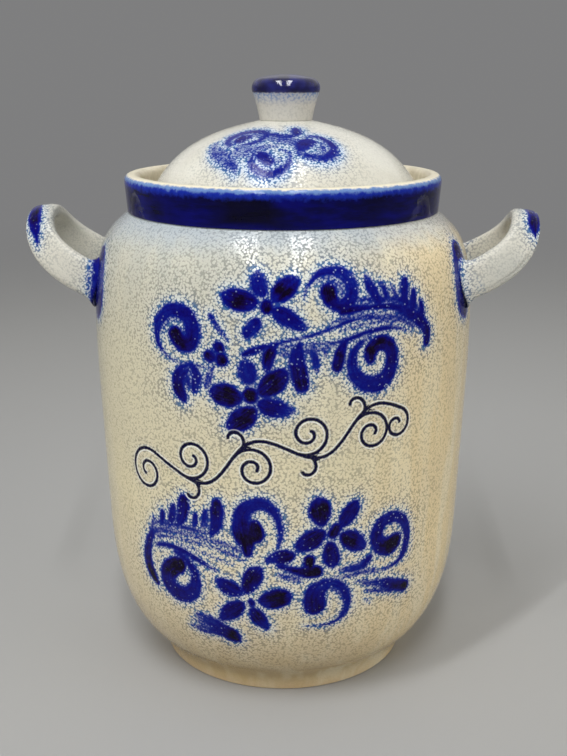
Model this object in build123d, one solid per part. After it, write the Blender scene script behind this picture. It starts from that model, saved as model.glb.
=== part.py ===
from build123d import *
from math import cos, pi, sin
import os

# A salt-glazed stoneware rumtopf: a tall pot with two upswept strap handles and a lid that drops into its rim.
# Millimetres, +Z up. The origin is the centre of the foot, on the surface that the pot stands on.
# The handles lie along X, and the painted front faces -Y.

# Pot, outside: foot, belly and neck
foot_radius = 70.8
foot_top_radius = 72.4
foot_height = 11.0
foot_bevel = 1.2
heel_radius = 74.0
belly_radius = 106.0
belly_height = 204.0
neck_radius = 85.2

# Pot, inside: wall, floor and throat
wall = 7.5
base_thickness = 9.0
floor_radius = 55.0
throat_radius = 72.3
throat_height = 10.0

# Rim: the glazed band, its rounded lip and the ledge inside that carries the lid
pot_height = 280.6
band_height = 20.0
band_foot_radius = 86.1
rim_radius = 87.8
lip_radius = 78.8
lip_outer_round = 4.4
lip_inner_round = 3.4
ledge_depth = 16.0
ledge_bore_radius = 78.2
ledge_round = 1.5

# Lid: its edge sits on the ledge, and a ring under it drops into the throat
lid_side_clearance = 2.0
lid_seat_clearance = 0.3
lid_least_gap = 0.4
lid_edge_thickness = 3.4
lid_edge_round = 1.4
lid_wall = 6.0
lid_rise = 40.3
ring_clearance = 2.1
ring_thickness = 5.0
ring_depth = 7.5
ring_round = 1.2

# Knob: a waisted post with a domed cap
knob_foot_radius = 14.4
knob_cap_radius = 18.5
knob_neck_height = 15.7
knob_cap_height = 8.6

# Handles: a flat strap bent to a loop, whose two ends are luted to the shoulder, this far below the rim
handle_drop_left = 55.9
handle_drop_right = 52.6
handle_reach_left = 30.3
handle_reach_right = 27.1
handle_rise_left = 32.3
handle_rise_right = 29.5
handle_half_spread = 31.0
handle_root_depth = 7.0
handle_root_angle = 23.0
handle_tip_angle = 84.0
strap_width = 19.2
strap_thickness = 8.2
sections_per_limb = 9

# Outlines, as shares of the sizes above
heel_shares = ((0.24, 0.036), (0.572, 0.119), (0.80, 0.2435), (0.90, 0.435), (0.956, 0.679))
shoulder_shares = ((0.091, 0.46), (0.409, 0.796))
side_wall_shares = (0.05, 0.12, 0.25, 0.5, 0.75, 0.87, 0.93)
crown_shares = ((0.38, 0.84), (0.70, 0.57), (0.87, 0.30))
crown_wall_shares = (0.25, 0.55, 0.85)
knob_neck_share = (0.31, 0.52)
knob_crown_share = (0.78, 0.78)
rise_bend_shares = (0.48, 0.33)
plan_shares = ((0.0, 1.0), (0.55, 0.9), (1.0, 0.68), (1.0, 0.0))
strap_width_shares = (0.98, 1.0, 0.77)
strap_round_share = 0.42

# Sizes that follow from those above
neck_height = pot_height - band_height
ledge_height = pot_height - ledge_depth
throat_bottom = ledge_height - throat_height
lid_radius = ledge_bore_radius - lid_side_clearance
lid_offset = min(lid_side_clearance, ring_clearance) - lid_least_gap
lid_seat_height = ledge_height + lid_seat_clearance
lid_edge_height = lid_seat_height + lid_edge_thickness
lid_crown_height = lid_edge_height + lid_rise
ring_radius = throat_radius - ring_clearance
ring_bottom = lid_seat_height - ring_depth
knob_cap_edge_height = lid_crown_height + knob_neck_height
knob_top_height = knob_cap_edge_height + knob_cap_height


def at(radius, height):
    """A point of an outline in the X-Z plane."""
    return Vector(radius, 0, height)


def between(low, high, share):
    """The value that lies this share of the way from low to high."""
    return low + (high - low) * share


def set_in(curve, thickness, shares):
    """Points on the inner side of a wall, measured square to its outside."""
    points = []
    for share in shares:
        point = curve.position_at(share)
        along = curve.tangent_at(share)
        points.append(Vector(point.X - along.Z * thickness, 0, point.Z + along.X * thickness))
    return points


def turned(lines):
    """The solid that a closed outline sweeps in one turn about the axis."""
    outline = Wire([edge for line in lines for edge in line.edges()])
    return revolve(make_face(outline), Axis.Z, 360)


def side_curve():
    """Outside of the pot from the foot over the belly up to the neck."""
    points = [at(heel_radius, foot_height)]
    for radius_share, height_share in heel_shares:
        radius = between(heel_radius, belly_radius, radius_share)
        points.append(at(radius, between(foot_height, belly_height, height_share)))
    points.append(at(belly_radius, belly_height))
    for radius_share, height_share in shoulder_shares:
        radius = between(belly_radius, neck_radius, radius_share)
        points.append(at(radius, between(belly_height, neck_height, height_share)))
    points.append(at(neck_radius, neck_height))
    return Spline(points)


def foot_line():
    """Underside and side of the foot, with its bevelled edge."""
    return Polyline(
        at(0, 0),
        at(foot_radius - foot_bevel, 0),
        at(foot_radius, foot_bevel),
        at(foot_top_radius, foot_height),
        at(heel_radius, foot_height),
    )


def rim_line():
    """The band, the rounded lip, the ledge and the throat, from the neck to the inside."""
    return FilletPolyline(
        at(neck_radius, neck_height),
        at(band_foot_radius, neck_height),
        at(rim_radius, pot_height),
        at(lip_radius, pot_height),
        at(ledge_bore_radius, ledge_height),
        at(throat_radius, ledge_height),
        at(throat_radius, throat_bottom),
        radius=[0, lip_outer_round, lip_inner_round, 0, ledge_round],
    )


def pot_inside_curve():
    """Inside of the pot from the bottom of the throat down to the floor."""
    points = [at(throat_radius, throat_bottom)]
    points += reversed(set_in(side_curve(), wall, side_wall_shares))
    points.append(at(floor_radius, base_thickness))
    return Spline(points)


def pot_body():
    """The thrown pot: foot, wall, shoulder, rim and lid ledge in one piece of clay."""
    closing = Polyline(at(floor_radius, base_thickness), at(0, base_thickness), at(0, 0))
    return turned([foot_line(), side_curve(), rim_line(), pot_inside_curve(), closing])


def pot_envelope():
    """The pot as if it were full, to cut what is luted on its outside."""
    closing = Polyline(at(neck_radius, neck_height), at(0, neck_height), at(0, 0))
    return turned([foot_line(), side_curve(), closing])


def crown_curve():
    """Outside of the lid from the knob's foot down to its edge."""
    points = [at(knob_foot_radius, lid_crown_height)]
    for radius_share, height_share in crown_shares:
        radius = between(knob_foot_radius, lid_radius, radius_share)
        points.append(at(radius, between(lid_edge_height, lid_crown_height, height_share)))
    points.append(at(lid_radius, lid_edge_height))
    return Spline(points)


def lid_shell():
    """The domed lid, with the edge that sits on the ledge and the ring that keeps it centred."""
    crown = crown_curve()
    edge_line = FilletPolyline(
        at(lid_radius, lid_edge_height),
        at(lid_radius, lid_seat_height),
        at(ring_radius, lid_seat_height),
        at(ring_radius, ring_bottom),
        at(ring_radius - ring_thickness, ring_bottom),
        at(ring_radius - ring_thickness, lid_edge_height),
        radius=[lid_edge_round, 0, ring_round, ring_round],
    )
    underside_points = [at(ring_radius - ring_thickness, lid_edge_height)]
    for point in reversed(set_in(crown, -lid_wall, crown_wall_shares)):
        underside_points.append(point)
    underside_points.append(at(0, lid_crown_height - lid_wall))
    underside = Spline(underside_points)
    closing = Polyline(
        at(0, lid_crown_height - lid_wall),
        at(0, lid_crown_height),
        at(knob_foot_radius, lid_crown_height),
    )
    return turned([crown, edge_line, underside, closing])


def lid_knob():
    """The knob: its waist opens to a sharp-edged, domed cap."""
    neck = Spline(
        at(knob_foot_radius, lid_crown_height),
        at(
            between(knob_foot_radius, knob_cap_radius, knob_neck_share[0]),
            between(lid_crown_height, knob_cap_edge_height, knob_neck_share[1]),
        ),
        at(knob_cap_radius, knob_cap_edge_height),
    )
    crown_end = at(
        knob_cap_radius * knob_crown_share[0],
        between(knob_cap_edge_height, knob_top_height, knob_crown_share[1]),
    )
    crown = TangentArc(at(0, knob_top_height), crown_end, tangent=(1, 0, 0))
    shoulder = TangentArc(crown_end, at(knob_cap_radius, knob_cap_edge_height), tangent=crown % 1)
    closing = Polyline(
        at(0, knob_top_height),
        at(0, lid_crown_height),
        at(knob_foot_radius, lid_crown_height),
    )
    return turned([neck, shoulder, crown, closing])


def handle_rise(root_height, reach, rise):
    """Side view of the loop's middle: out of the shoulder, then bending up to the tip."""
    root_angle = handle_root_angle * pi / 180
    tip_angle = handle_tip_angle * pi / 180
    root = at(belly_radius - handle_root_depth, root_height - handle_root_depth * sin(root_angle))
    tip = at(belly_radius + reach, root_height + rise)
    chord = (tip - root).length
    leaving = Vector(cos(root_angle), 0, sin(root_angle)) * chord * rise_bend_shares[0]
    arriving = Vector(cos(tip_angle), 0, sin(tip_angle)) * chord * rise_bend_shares[1]
    return Bezier(root, root + leaving, tip - arriving, tip)


def handle_limb(length, side):
    """Half the loop in top view, as if it lay flat: from one root to the tip."""
    return Bezier([Vector(along * length, side * half * handle_half_spread, 0) for along, half in plan_shares])


def strap_width_at(share):
    """Width of the strap, from the root over the middle to the tip."""
    root, middle, tip = strap_width_shares
    swell = root * (1 - share) * (1 - 2 * share) + 4 * middle * share * (1 - share)
    return strap_width * (swell + tip * share * (2 * share - 1))


def strap_section(climb, on_plan, heading):
    """The rounded section of the strap at one place of the flat plan, bent up along the climb."""
    share = min(on_plan.X / climb.length, 1)
    middle = climb.position_at(share)
    slope = climb.tangent_at(share)
    place = Plane(
        origin=(middle.X, on_plan.Y, middle.Z),
        x_dir=(-slope.Z, 0, slope.X),
        z_dir=(slope.X * heading.X, heading.Y, slope.Z * heading.X),
    )
    return place * RectangleRounded(strap_width_at(share), strap_thickness, strap_thickness * strap_round_share)


def handle(root_height, reach, rise):
    """A strap handle on the +X side, before its roots are cut to the shoulder."""
    climb = handle_rise(root_height, reach, rise)
    front = handle_limb(climb.length, -1)
    back = handle_limb(climb.length, 1)
    steps = [step / sections_per_limb for step in range(sections_per_limb + 1)]
    sections = [strap_section(climb, front.position_at(step), front.tangent_at(step)) for step in steps]
    for step in reversed(steps[:-1]):
        sections.append(strap_section(climb, back.position_at(step), -back.tangent_at(step)))
    return loft(sections)


def luted(strap):
    """The part of a handle that stands out of the pot, cut to fit its wall."""
    return strap - pot_envelope()


handle_left = handle(pot_height - handle_drop_left, handle_reach_left, handle_rise_left)
handle_right = handle(pot_height - handle_drop_right, handle_reach_right, handle_rise_right)
lid_place = Location((lid_offset, 0, 0))

pieces = {
    "pot_body": pot_body(),
    "handle_left": luted(mirror(handle_left, about=Plane.YZ)),
    "handle_right": luted(handle_right),
    "lid_shell": lid_place * lid_shell(),
    "lid_knob": lid_place * lid_knob(),
}

os.makedirs("parts", exist_ok=True)
for name, piece in pieces.items():
    export_step(piece, f"parts/{name}.step")
    box = piece.bounding_box()
    print(name, [round(value, 2) for value in (*box.min, *box.max)], round(piece.volume))
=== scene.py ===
import bpy
import numpy as np
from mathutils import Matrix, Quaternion, Vector


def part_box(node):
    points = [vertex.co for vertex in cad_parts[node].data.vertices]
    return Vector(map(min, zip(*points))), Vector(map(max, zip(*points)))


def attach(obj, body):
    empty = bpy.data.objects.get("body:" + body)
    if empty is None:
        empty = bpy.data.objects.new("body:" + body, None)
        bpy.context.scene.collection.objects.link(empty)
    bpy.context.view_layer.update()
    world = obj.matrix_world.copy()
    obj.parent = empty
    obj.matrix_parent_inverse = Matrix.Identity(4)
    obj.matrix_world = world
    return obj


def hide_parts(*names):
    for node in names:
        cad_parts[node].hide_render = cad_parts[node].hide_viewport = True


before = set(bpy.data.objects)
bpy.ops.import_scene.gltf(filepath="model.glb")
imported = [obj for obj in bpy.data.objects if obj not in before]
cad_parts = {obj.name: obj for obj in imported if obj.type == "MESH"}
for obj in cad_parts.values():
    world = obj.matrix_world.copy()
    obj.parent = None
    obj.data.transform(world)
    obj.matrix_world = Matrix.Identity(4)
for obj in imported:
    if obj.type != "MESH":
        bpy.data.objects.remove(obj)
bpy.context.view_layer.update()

# The pot: stoneware thrown in one piece, from the turned foot over the belly to the collar. Salt thrown
# into the kiln glazed it outside with a fine orange peel. Inside it has the ledge that carries the lid, and
# a thinner and smoother glaze.
mm = 0.001
pot_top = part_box("pot_body")[1]
brushwork_room = 0.16 * mm
belly_radius = pot_top.x - brushwork_room
belly_height = 204.0 * mm
foot_radius = 70.8 * mm
foot_top_radius = 72.4 * mm
foot_height = 11.0 * mm
foot_bevel = 1.2 * mm
heel_radius = 74.0 * mm
hollow_round = 9.0 * mm
hollow_from = 20.0 * mm
neck_radius = 85.0 * mm
band_height = 20.0 * mm
band_foot_radius = 86.1 * mm
rim_radius = 87.7 * mm
lip_radius = 78.8 * mm
lip_outer_round = 4.4 * mm
lip_inner_round = 3.4 * mm
ledge_depth = 16.0 * mm
ledge_bore_radius = 78.2 * mm
ledge_round = 1.5 * mm
throat_radius = 72.3 * mm
throat_height = 10.0 * mm
wall = 7.5 * mm
base_thickness = 9.0 * mm
floor_radius = 55.0 * mm
edge_round = 0.5 * mm
pole_radius = 4.0 * mm
liner_from = 26.0 * mm
liner_clear = 16.0 * mm
liner_step = 90
liner_count = 30
heel_shares = ((0.24, 0.036), (0.572, 0.119), (0.80, 0.2435), (0.90, 0.435), (0.956, 0.679))
shoulder_shares = ((0.091, 0.46), (0.409, 0.796))
neck_height = pot_top.z - band_height
ledge_height = pot_top.z - ledge_depth
throat_bottom = ledge_height - throat_height


def smooth_line(points, count):
    """A natural cubic spline through points, at count even places along the distance that their first two
    columns run. Any further columns, such as a width, are carried along by the same spline."""
    points = np.asarray(points, float)
    run = np.append(0, np.cumsum(np.linalg.norm(np.diff(points[:, :2], axis=0), axis=1)))
    step = np.diff(run)[:, None]
    slope = np.diff(points, axis=0) / step
    system = np.eye(len(points))
    bend = np.zeros_like(points)
    inner = np.arange(1, len(points) - 1)
    system[inner, inner - 1] = step[:-1, 0]
    system[inner, inner] = 2 * (step[:-1, 0] + step[1:, 0])
    system[inner, inner + 1] = step[1:, 0]
    bend[1:-1] = 6 * np.diff(slope, axis=0)
    bend = np.linalg.solve(system, bend)
    places = np.linspace(0, run[-1], count)
    i = np.clip(np.searchsorted(run, places) - 1, 0, len(step) - 1)
    before = (places - run[i])[:, None]
    after = step[i] - before
    curved = bend[i] * after ** 3 + bend[i + 1] * before ** 3
    straight = points[i] * after + points[i + 1] * before
    leftover = (bend[i] * after + bend[i + 1] * before) * step[i] ** 2
    return (curved / 6 + straight - leftover / 6) / step[i]


def rounded_line(corners, rounds, steps=6):
    """A line whose corners are rounded: each corner P gives way to the quadratic Bezier curve that starts the
    round's length before P, has P as its control point, and ends that length after it."""
    corners = np.asarray(corners, float)
    line = [corners[:1]]
    t = np.linspace(0, 1, steps)[:, None]
    for before, corner, after, cut in zip(corners, corners[1:], corners[2:], rounds):
        start = corner + (before - corner) * cut / np.linalg.norm(before - corner)
        end = corner + (after - corner) * cut / np.linalg.norm(after - corner)
        line.append((1 - t) ** 2 * start + 2 * t * (1 - t) * corner + t ** 2 * end)
    return np.vstack(line + [corners[-1:]])


def filled(line, spacing):
    """The same line with points put into every stretch that is longer than spacing, evenly."""
    parts = []
    for start, end in zip(line, line[1:]):
        count = max(int(np.ceil(np.linalg.norm(end - start) / spacing)), 1)
        parts.append(start + (end - start) * (np.arange(count) / count)[:, None])
    return np.vstack(parts + [line[-1:]])


def between(low, high, share):
    """The value that lies this share of the way from low to high."""
    return low + (high - low) * share


def side_line():
    """Outside of the pot, as (radius, height), from the heel up to the neck."""
    points = [(heel_radius, foot_height)]
    for out, up in heel_shares:
        points.append((between(heel_radius, belly_radius, out), between(foot_height, belly_height, up)))
    points.append((belly_radius, belly_height))
    for out, up in shoulder_shares:
        points.append((between(belly_radius, neck_radius, out), between(belly_height, neck_height, up)))
    points.append((neck_radius, neck_height))
    return smooth_line(points, 900)


side = side_line()
painted_from = 40 * mm
painted_to = 249 * mm
row_pitch = 1.15 * mm
plain_pitch = 3.2 * mm
shoulder_pitch = 1.6 * mm
collar_pitch = 1.7 * mm
underside_pitch = 8.0 * mm
floor_pitch = 14.0 * mm
low_side = side[(side[:, 1] > hollow_from) & (side[:, 1] < painted_from)]
painted_side = side[(side[:, 1] >= painted_from) & (side[:, 1] <= painted_to)]
high_side = side[side[:, 1] > painted_to]


def even(line, pitch):
    """Points about a pitch apart along a fine line."""
    run = np.append(0, np.cumsum(np.linalg.norm(np.diff(line, axis=0), axis=1)))
    places = np.linspace(0, run[-1], int(run[-1] / pitch) + 2)
    return np.column_stack([np.interp(places, run, line[:, 0]), np.interp(places, run, line[:, 1])])


underside = rounded_line(
    [(pole_radius, 0), (foot_radius, 0), ((foot_top_radius + heel_radius) / 2, foot_height), low_side[0]],
    (foot_bevel, hollow_round),
    9,
)
collar = rounded_line(
    [
        (neck_radius, neck_height),
        (band_foot_radius, neck_height),
        (rim_radius, pot_top.z),
        (lip_radius, pot_top.z),
        (ledge_bore_radius, ledge_height),
        (throat_radius, ledge_height),
        (throat_radius, throat_bottom),
    ],
    (edge_round, lip_outer_round, lip_inner_round, edge_round, ledge_round),
)
inner_side = np.column_stack([side[:, 0] - wall, side[:, 1]])[::-1]
inner_side = inner_side[(inner_side[:, 1] > liner_from) & (inner_side[:, 1] < throat_bottom - liner_clear)]
liner = smooth_line(
    np.vstack([
        (throat_radius, throat_bottom),
        inner_side[::liner_step],
        (floor_radius, base_thickness),
    ]),
    liner_count,
)
floor_line = np.array([(floor_radius, base_thickness), (pole_radius, base_thickness)])


def joined(stretches, finishes):
    """One line from stretches that each start where the last one ended, and the number of each point's
    finish."""
    counts = [len(stretch) - min(k, 1) for k, stretch in enumerate(stretches)]
    parts = [stretch[-count:] for stretch, count in zip(stretches, counts)]
    return np.vstack(parts), np.repeat(finishes, counts)


# The pot's finishes are 0, the salt-glazed wall, 1, the collar, and 2, the inside
outline, finish_of_row = joined(
    [
        filled(underside, underside_pitch),
        even(low_side, plain_pitch),
        even(painted_side, row_pitch),
        even(high_side, shoulder_pitch),
        filled(collar, collar_pitch),
        liner,
        filled(floor_line, floor_pitch),
    ],
    (0, 0, 0, 0, 1, 2, 2),
)

# Columns crowd where the front is painted and round the handles' roots, whose angles are from -Y towards +X
front_edge = np.radians((-47, 53))
root_edges = np.radians((57, 84))
front_pitch = 1.06 * mm
root_pitch = 2.2 * mm
back_pitch = 7.5 * mm
full_turn = np.linspace(-np.pi, np.pi, 7201)


def crowded(pitch, radius):
    """Angles of columns round a circle, from the pitch wanted at each angle of a full turn: even steps of the
    running total of columns."""
    total = np.append(0, np.cumsum(radius * np.diff(full_turn) / pitch[:-1]))
    return np.interp(np.arange(int(total[-1])) / int(total[-1]) * total[-1], total, full_turn)


def pot_pitch():
    """Pitch of the pot's columns at each angle of a full turn."""
    pitch = np.full(full_turn.shape, back_pitch)
    from_side = np.abs(np.pi / 2 - np.abs(full_turn))
    pitch[(from_side > np.pi / 2 - root_edges[1]) & (from_side < np.pi / 2 - root_edges[0])] = root_pitch
    pitch[(full_turn > front_edge[0]) & (full_turn < front_edge[1])] = front_pitch
    return pitch


column_angle = crowded(pot_pitch(), belly_radius)


def turned(line, angles, middle=(0, 0)):
    """Grid of places that a (radius, height) line sweeps about an upright axis: x = r sin a, y = -r cos a and
    z = h."""
    radius, height = line[:, :1], line[:, 1:]
    return np.stack([
        middle[0] + radius * np.sin(angles),
        middle[1] - radius * np.cos(angles),
        np.broadcast_to(height, (len(line), len(angles))),
    ], axis=-1)


def piece_from_grid(name, grid, finish_of_row=None, round_weight=1.0, line_weight=1.0):
    """A mesh over a grid whose last column joins its first. A fan about its own centre closes each end row.
    The UV map follows the lengths of the grid's widest row and of its line, times the weights given for each
    column and row, so that what is painted has the most room."""
    rows, columns = grid.shape[:2]
    index = np.arange(rows * columns).reshape(rows, columns)
    beside = np.roll(index, -1, axis=1)
    quads = np.stack([index[:-1], beside[:-1], beside[1:], index[1:]], axis=-1).reshape(-1, 4)
    first, last = np.full(columns, rows * columns), np.full(columns, rows * columns + 1)
    ends = np.vstack([
        np.column_stack([beside[0], index[0], first]),
        np.column_stack([index[-1], beside[-1], last]),
    ])
    vertices = np.vstack([grid.reshape(-1, 3), grid[0].mean(axis=0), grid[-1].mean(axis=0)])
    mesh = bpy.data.meshes.new(name)
    mesh.from_pydata(vertices.tolist(), [], quads.tolist() + ends.tolist())
    steps_round = np.linalg.norm(np.roll(grid, -1, axis=1) - grid, axis=-1).max(axis=0) * round_weight
    steps_along = np.linalg.norm(np.diff(grid, axis=0), axis=-1).mean(axis=1) * line_weight
    u = np.append(0, np.cumsum(steps_round)) / steps_round.sum()
    v = between(0.02, 0.98, np.append(0, np.cumsum(steps_along)) / steps_along.sum())
    left, right = np.broadcast_to(u[:-1], (rows - 1, columns)), np.broadcast_to(u[1:], (rows - 1, columns))
    low, high = np.broadcast_to(v[:-1, None], left.shape), np.broadcast_to(v[1:, None], left.shape)
    uv = np.stack([left, low, right, low, right, high, left, high], axis=-1).reshape(-1, 2)
    middle = (u[:-1] + u[1:]) / 2
    zero, one = np.zeros(columns), np.ones(columns)
    first_uv = np.stack([u[1:], v[0] * one, u[:-1], v[0] * one, middle, zero], axis=-1).reshape(-1, 2)
    last_uv = np.stack([u[:-1], v[-1] * one, u[1:], v[-1] * one, middle, one], axis=-1).reshape(-1, 2)
    uv = np.vstack([uv, first_uv, last_uv])
    mesh.uv_layers.new(name="surface").uv.foreach_set("vector", uv.ravel())
    if finish_of_row is not None:
        of_quads = np.repeat(finish_of_row[1:], columns)
        of_ends = np.repeat(finish_of_row[[0, -1]], columns)
        mesh.polygons.foreach_set("material_index", np.concatenate([of_quads, of_ends]))
    mesh.polygons.foreach_set("use_smooth", np.ones(len(mesh.polygons), bool))
    mesh.update()
    piece = bpy.data.objects.new(name, mesh)
    bpy.context.scene.collection.objects.link(piece)
    return piece


def write_attribute(piece, name, values, ends=0.0):
    """Writes an array of the grid's values, one number or one vector for each place, as a point attribute.
    The centres of the end fans get the value ends."""
    kind, field = ("FLOAT", "value") if values.ndim == 2 else ("FLOAT_VECTOR", "vector")
    flat = values.reshape(values.shape[0] * values.shape[1], -1)
    spare = len(piece.data.vertices) - len(flat)
    flat = np.vstack([flat, np.full((spare, flat.shape[1]), ends)])
    piece.data.attributes.new(name, kind, "POINT").data.foreach_set(field, flat.astype(np.float32).ravel())


# The brushwork: cobalt slip laid on the dry pot with a soft brush before the firing. Strokes are seen from
# the middle of the painting, in mm: (right round the belly, up from the table, half width, load of cobalt).
paint_turn = 0.0972
upper_flowers = [
    [(-29.6, 232.4, 2.2, 0.8), (-26.5, 230.8, 4.6, 1.1), (-21.5, 229.6, 5.6, 1.4), (-16.5, 228.8, 4.6, 1.2),
     (-13.8, 228.4, 2.6, 1.0)],
    [(-13, 241, 3.4, 0.9), (-11.8, 237.4, 5.2, 0.95), (-10.2, 233.4, 3.4, 1.0)],
    [(-3.6, 231.4, 3.4, 1.1), (-0.4, 234, 5.3, 1.4), (3.6, 237, 4.9, 1.15), (6.4, 239, 2.9, 0.85)],
    [(-3.6, 224.6, 3.0, 1.0), (0.4, 222.6, 4.8, 1.1), (5, 219.8, 4.6, 1.0), (9.5, 217.4, 3.0, 0.85),
     (12.5, 218, 1.4, 0.6)],
    [(-17.2, 213.6, 3.4, 1.0), (-15, 216.2, 4.5, 0.9), (-12.9, 218.8, 3.5, 1.0)],
    [(-8, 227.4, 3.5, 1.25), (-7.8, 226.4, 3.7, 1.3)],
    [(-17.8, 197.2, 4.6, 0.9), (-17.2, 194.2, 5.7, 0.95), (-16.6, 191.8, 4.4, 1.1)],
    [(-33.8, 183.4, 3.9, 1.15), (-30.4, 182.6, 6.0, 1.35), (-26.4, 181.8, 6.0, 1.45), (-23, 181, 4.0, 1.2)],
    [(-25.4, 166.8, 3.8, 1.15), (-22.2, 169, 5.6, 1.35), (-18.4, 171.6, 5.8, 1.35),
     (-15.4, 174.2, 3.6, 1.2)],
    [(-9.3, 185.4, 4.0, 1.2), (-6, 188.2, 5.9, 1.4), (-2.5, 191.2, 5.7, 1.3), (0.3, 193.8, 3.6, 1.1)],
    [(-10.2, 178.6, 3.4, 1.05), (-6.5, 177, 5.3, 1.15), (-1.7, 176.2, 5.2, 1.0), (2.6, 175.2, 3.4, 0.85),
     (5.8, 174.8, 1.8, 0.6)],
    [(-16.2, 183.2, 4.0, 1.5), (-15.6, 182.2, 4.1, 1.5)],
]
upper_leaves = [
    [(-47.5, 195.4, 2.6, 0.8), (-51.6, 192.2, 4.0, 1.0), (-54.2, 187.5, 4.3, 1.15), (-54, 182.5, 3.9, 1.4),
     (-51.6, 178.4, 3.2, 1.15)],
    [(-46.5, 195.6, 2.4, 0.9), (-43.8, 191, 3.6, 1.0), (-44, 186.4, 3.4, 1.0), (-45, 183, 2.4, 0.85)],
    [(-49.5, 193, 2.6, 0.75), (-49.4, 188.5, 3.0, 0.8), (-48.6, 184.5, 2.2, 0.7)],
    [(-34.5, 196, 1.6, 0.7), (-36.4, 192.5, 2.6, 0.75), (-38, 188, 2.8, 0.75), (-38.6, 185, 2.0, 0.65)],
    [(-48, 197, 1.2, 0.75), (-42, 196, 1.4, 0.7), (-36.5, 195.6, 1.4, 0.7)],
    [(-31.7, 206.4, 3.4, 1.2), (-31.3, 205.6, 3.4, 1.2)],
    [(-36.7, 201.5, 3.5, 1.3), (-36.1, 201.1, 3.5, 1.3)],
    [(-30.5, 200.5, 3.7, 1.35), (-30.1, 199.8, 3.7, 1.35)],
    [(-36, 221.4, 1.9, 0.9), (-33, 217.4, 1.9, 0.85), (-30, 213.4, 1.7, 0.85), (-26.6, 209.8, 1.2, 0.75)],
    [(-4, 208, 2.2, 0.9), (-6, 204.5, 3.5, 1.3), (-7.3, 200, 3.6, 1.15), (-7.5, 196.5, 2.6, 0.9)],
    [(8, 208.6, 2.4, 0.9), (6.8, 204, 4.1, 1.0), (7.2, 198, 4.7, 1.15), (8.4, 192, 4.6, 1.3),
     (9.2, 188.2, 4.2, 1.3)],
    [(14, 208, 2.0, 0.8), (15.4, 202, 2.9, 0.85), (16.2, 197.5, 2.6, 0.8), (16.6, 194.8, 1.8, 0.7)],
    [(31.4, 210, 1.8, 0.9), (29.2, 206, 2.8, 1.15), (27.5, 201, 3.4, 1.35), (26.9, 197, 3.4, 1.3)],
    [(0, 204, 2.6, 0.7), (11.5, 205.4, 2.6, 0.65), (20, 206.5, 2.4, 0.6), (25, 207.4, 2.0, 0.6)],
    [(20.5, 207, 1.8, 0.7), (20.8, 202.5, 2.0, 0.6)],
]
upper_volutes = [
    [(-55.5, 210.5, 4.4, 1.5), (-52, 206.7, 4.8, 1.4), (-47, 207.5, 5.2, 1.15), (-45.5, 213, 5.2, 1.05),
     (-48, 219.4, 4.9, 1.0), (-54, 222.4, 4.4, 1.0), (-60.8, 221, 4.2, 0.95), (-65.5, 216, 4.0, 0.9),
     (-67, 210, 3.0, 0.9), (-66, 204.4, 2.2, 0.85), (-62.5, 200.2, 1.6, 0.8), (-57, 197.4, 1.3, 0.75),
     (-52.5, 196.2, 1.2, 0.7)],
    [(-53.5, 217.6, 1.6, 0.55), (-59, 217.2, 1.8, 0.6), (-62.4, 212.5, 1.6, 0.55), (-63, 207, 1.2, 0.5)],
    [(22.5, 233.6, 4.6, 1.45), (23.6, 229.6, 4.2, 1.3), (27.5, 226.8, 3.6, 1.2), (32.6, 228.4, 4.2, 1.0),
     (34.8, 233.5, 4.4, 0.95), (33, 239, 4.3, 0.9), (28.5, 242.2, 3.6, 0.9), (22.5, 242.9, 2.9, 0.9),
     (17, 241.3, 2.3, 0.9), (13.4, 238.2, 1.8, 0.85), (11.2, 234.5, 1.4, 0.8), (10.3, 230.5, 1.1, 0.7)],
    [(15.5, 237.2, 1.0, 0.7), (20, 239.4, 1.2, 0.75), (25.2, 238.6, 1.4, 0.8), (29, 235, 1.4, 0.8),
     (29.4, 231, 1.2, 0.8)],
    [(44.3, 199.4, 3.2, 1.35), (44.2, 202.8, 3.9, 1.45), (47.5, 206.3, 4.2, 1.3), (52.8, 206, 4.4, 1.25),
     (56.2, 201.5, 4.4, 1.15), (56.4, 195, 4.6, 1.1), (53.5, 189.2, 5.1, 1.05), (47.5, 186, 5.3, 1.0),
     (41, 187.3, 5.0, 0.95), (36, 191.8, 4.3, 0.95), (34.2, 197.8, 3.6, 0.9), (35.3, 203.6, 3.0, 0.9),
     (39, 207.8, 2.2, 0.85), (44, 210.3, 1.4, 0.75)],
]
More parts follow.
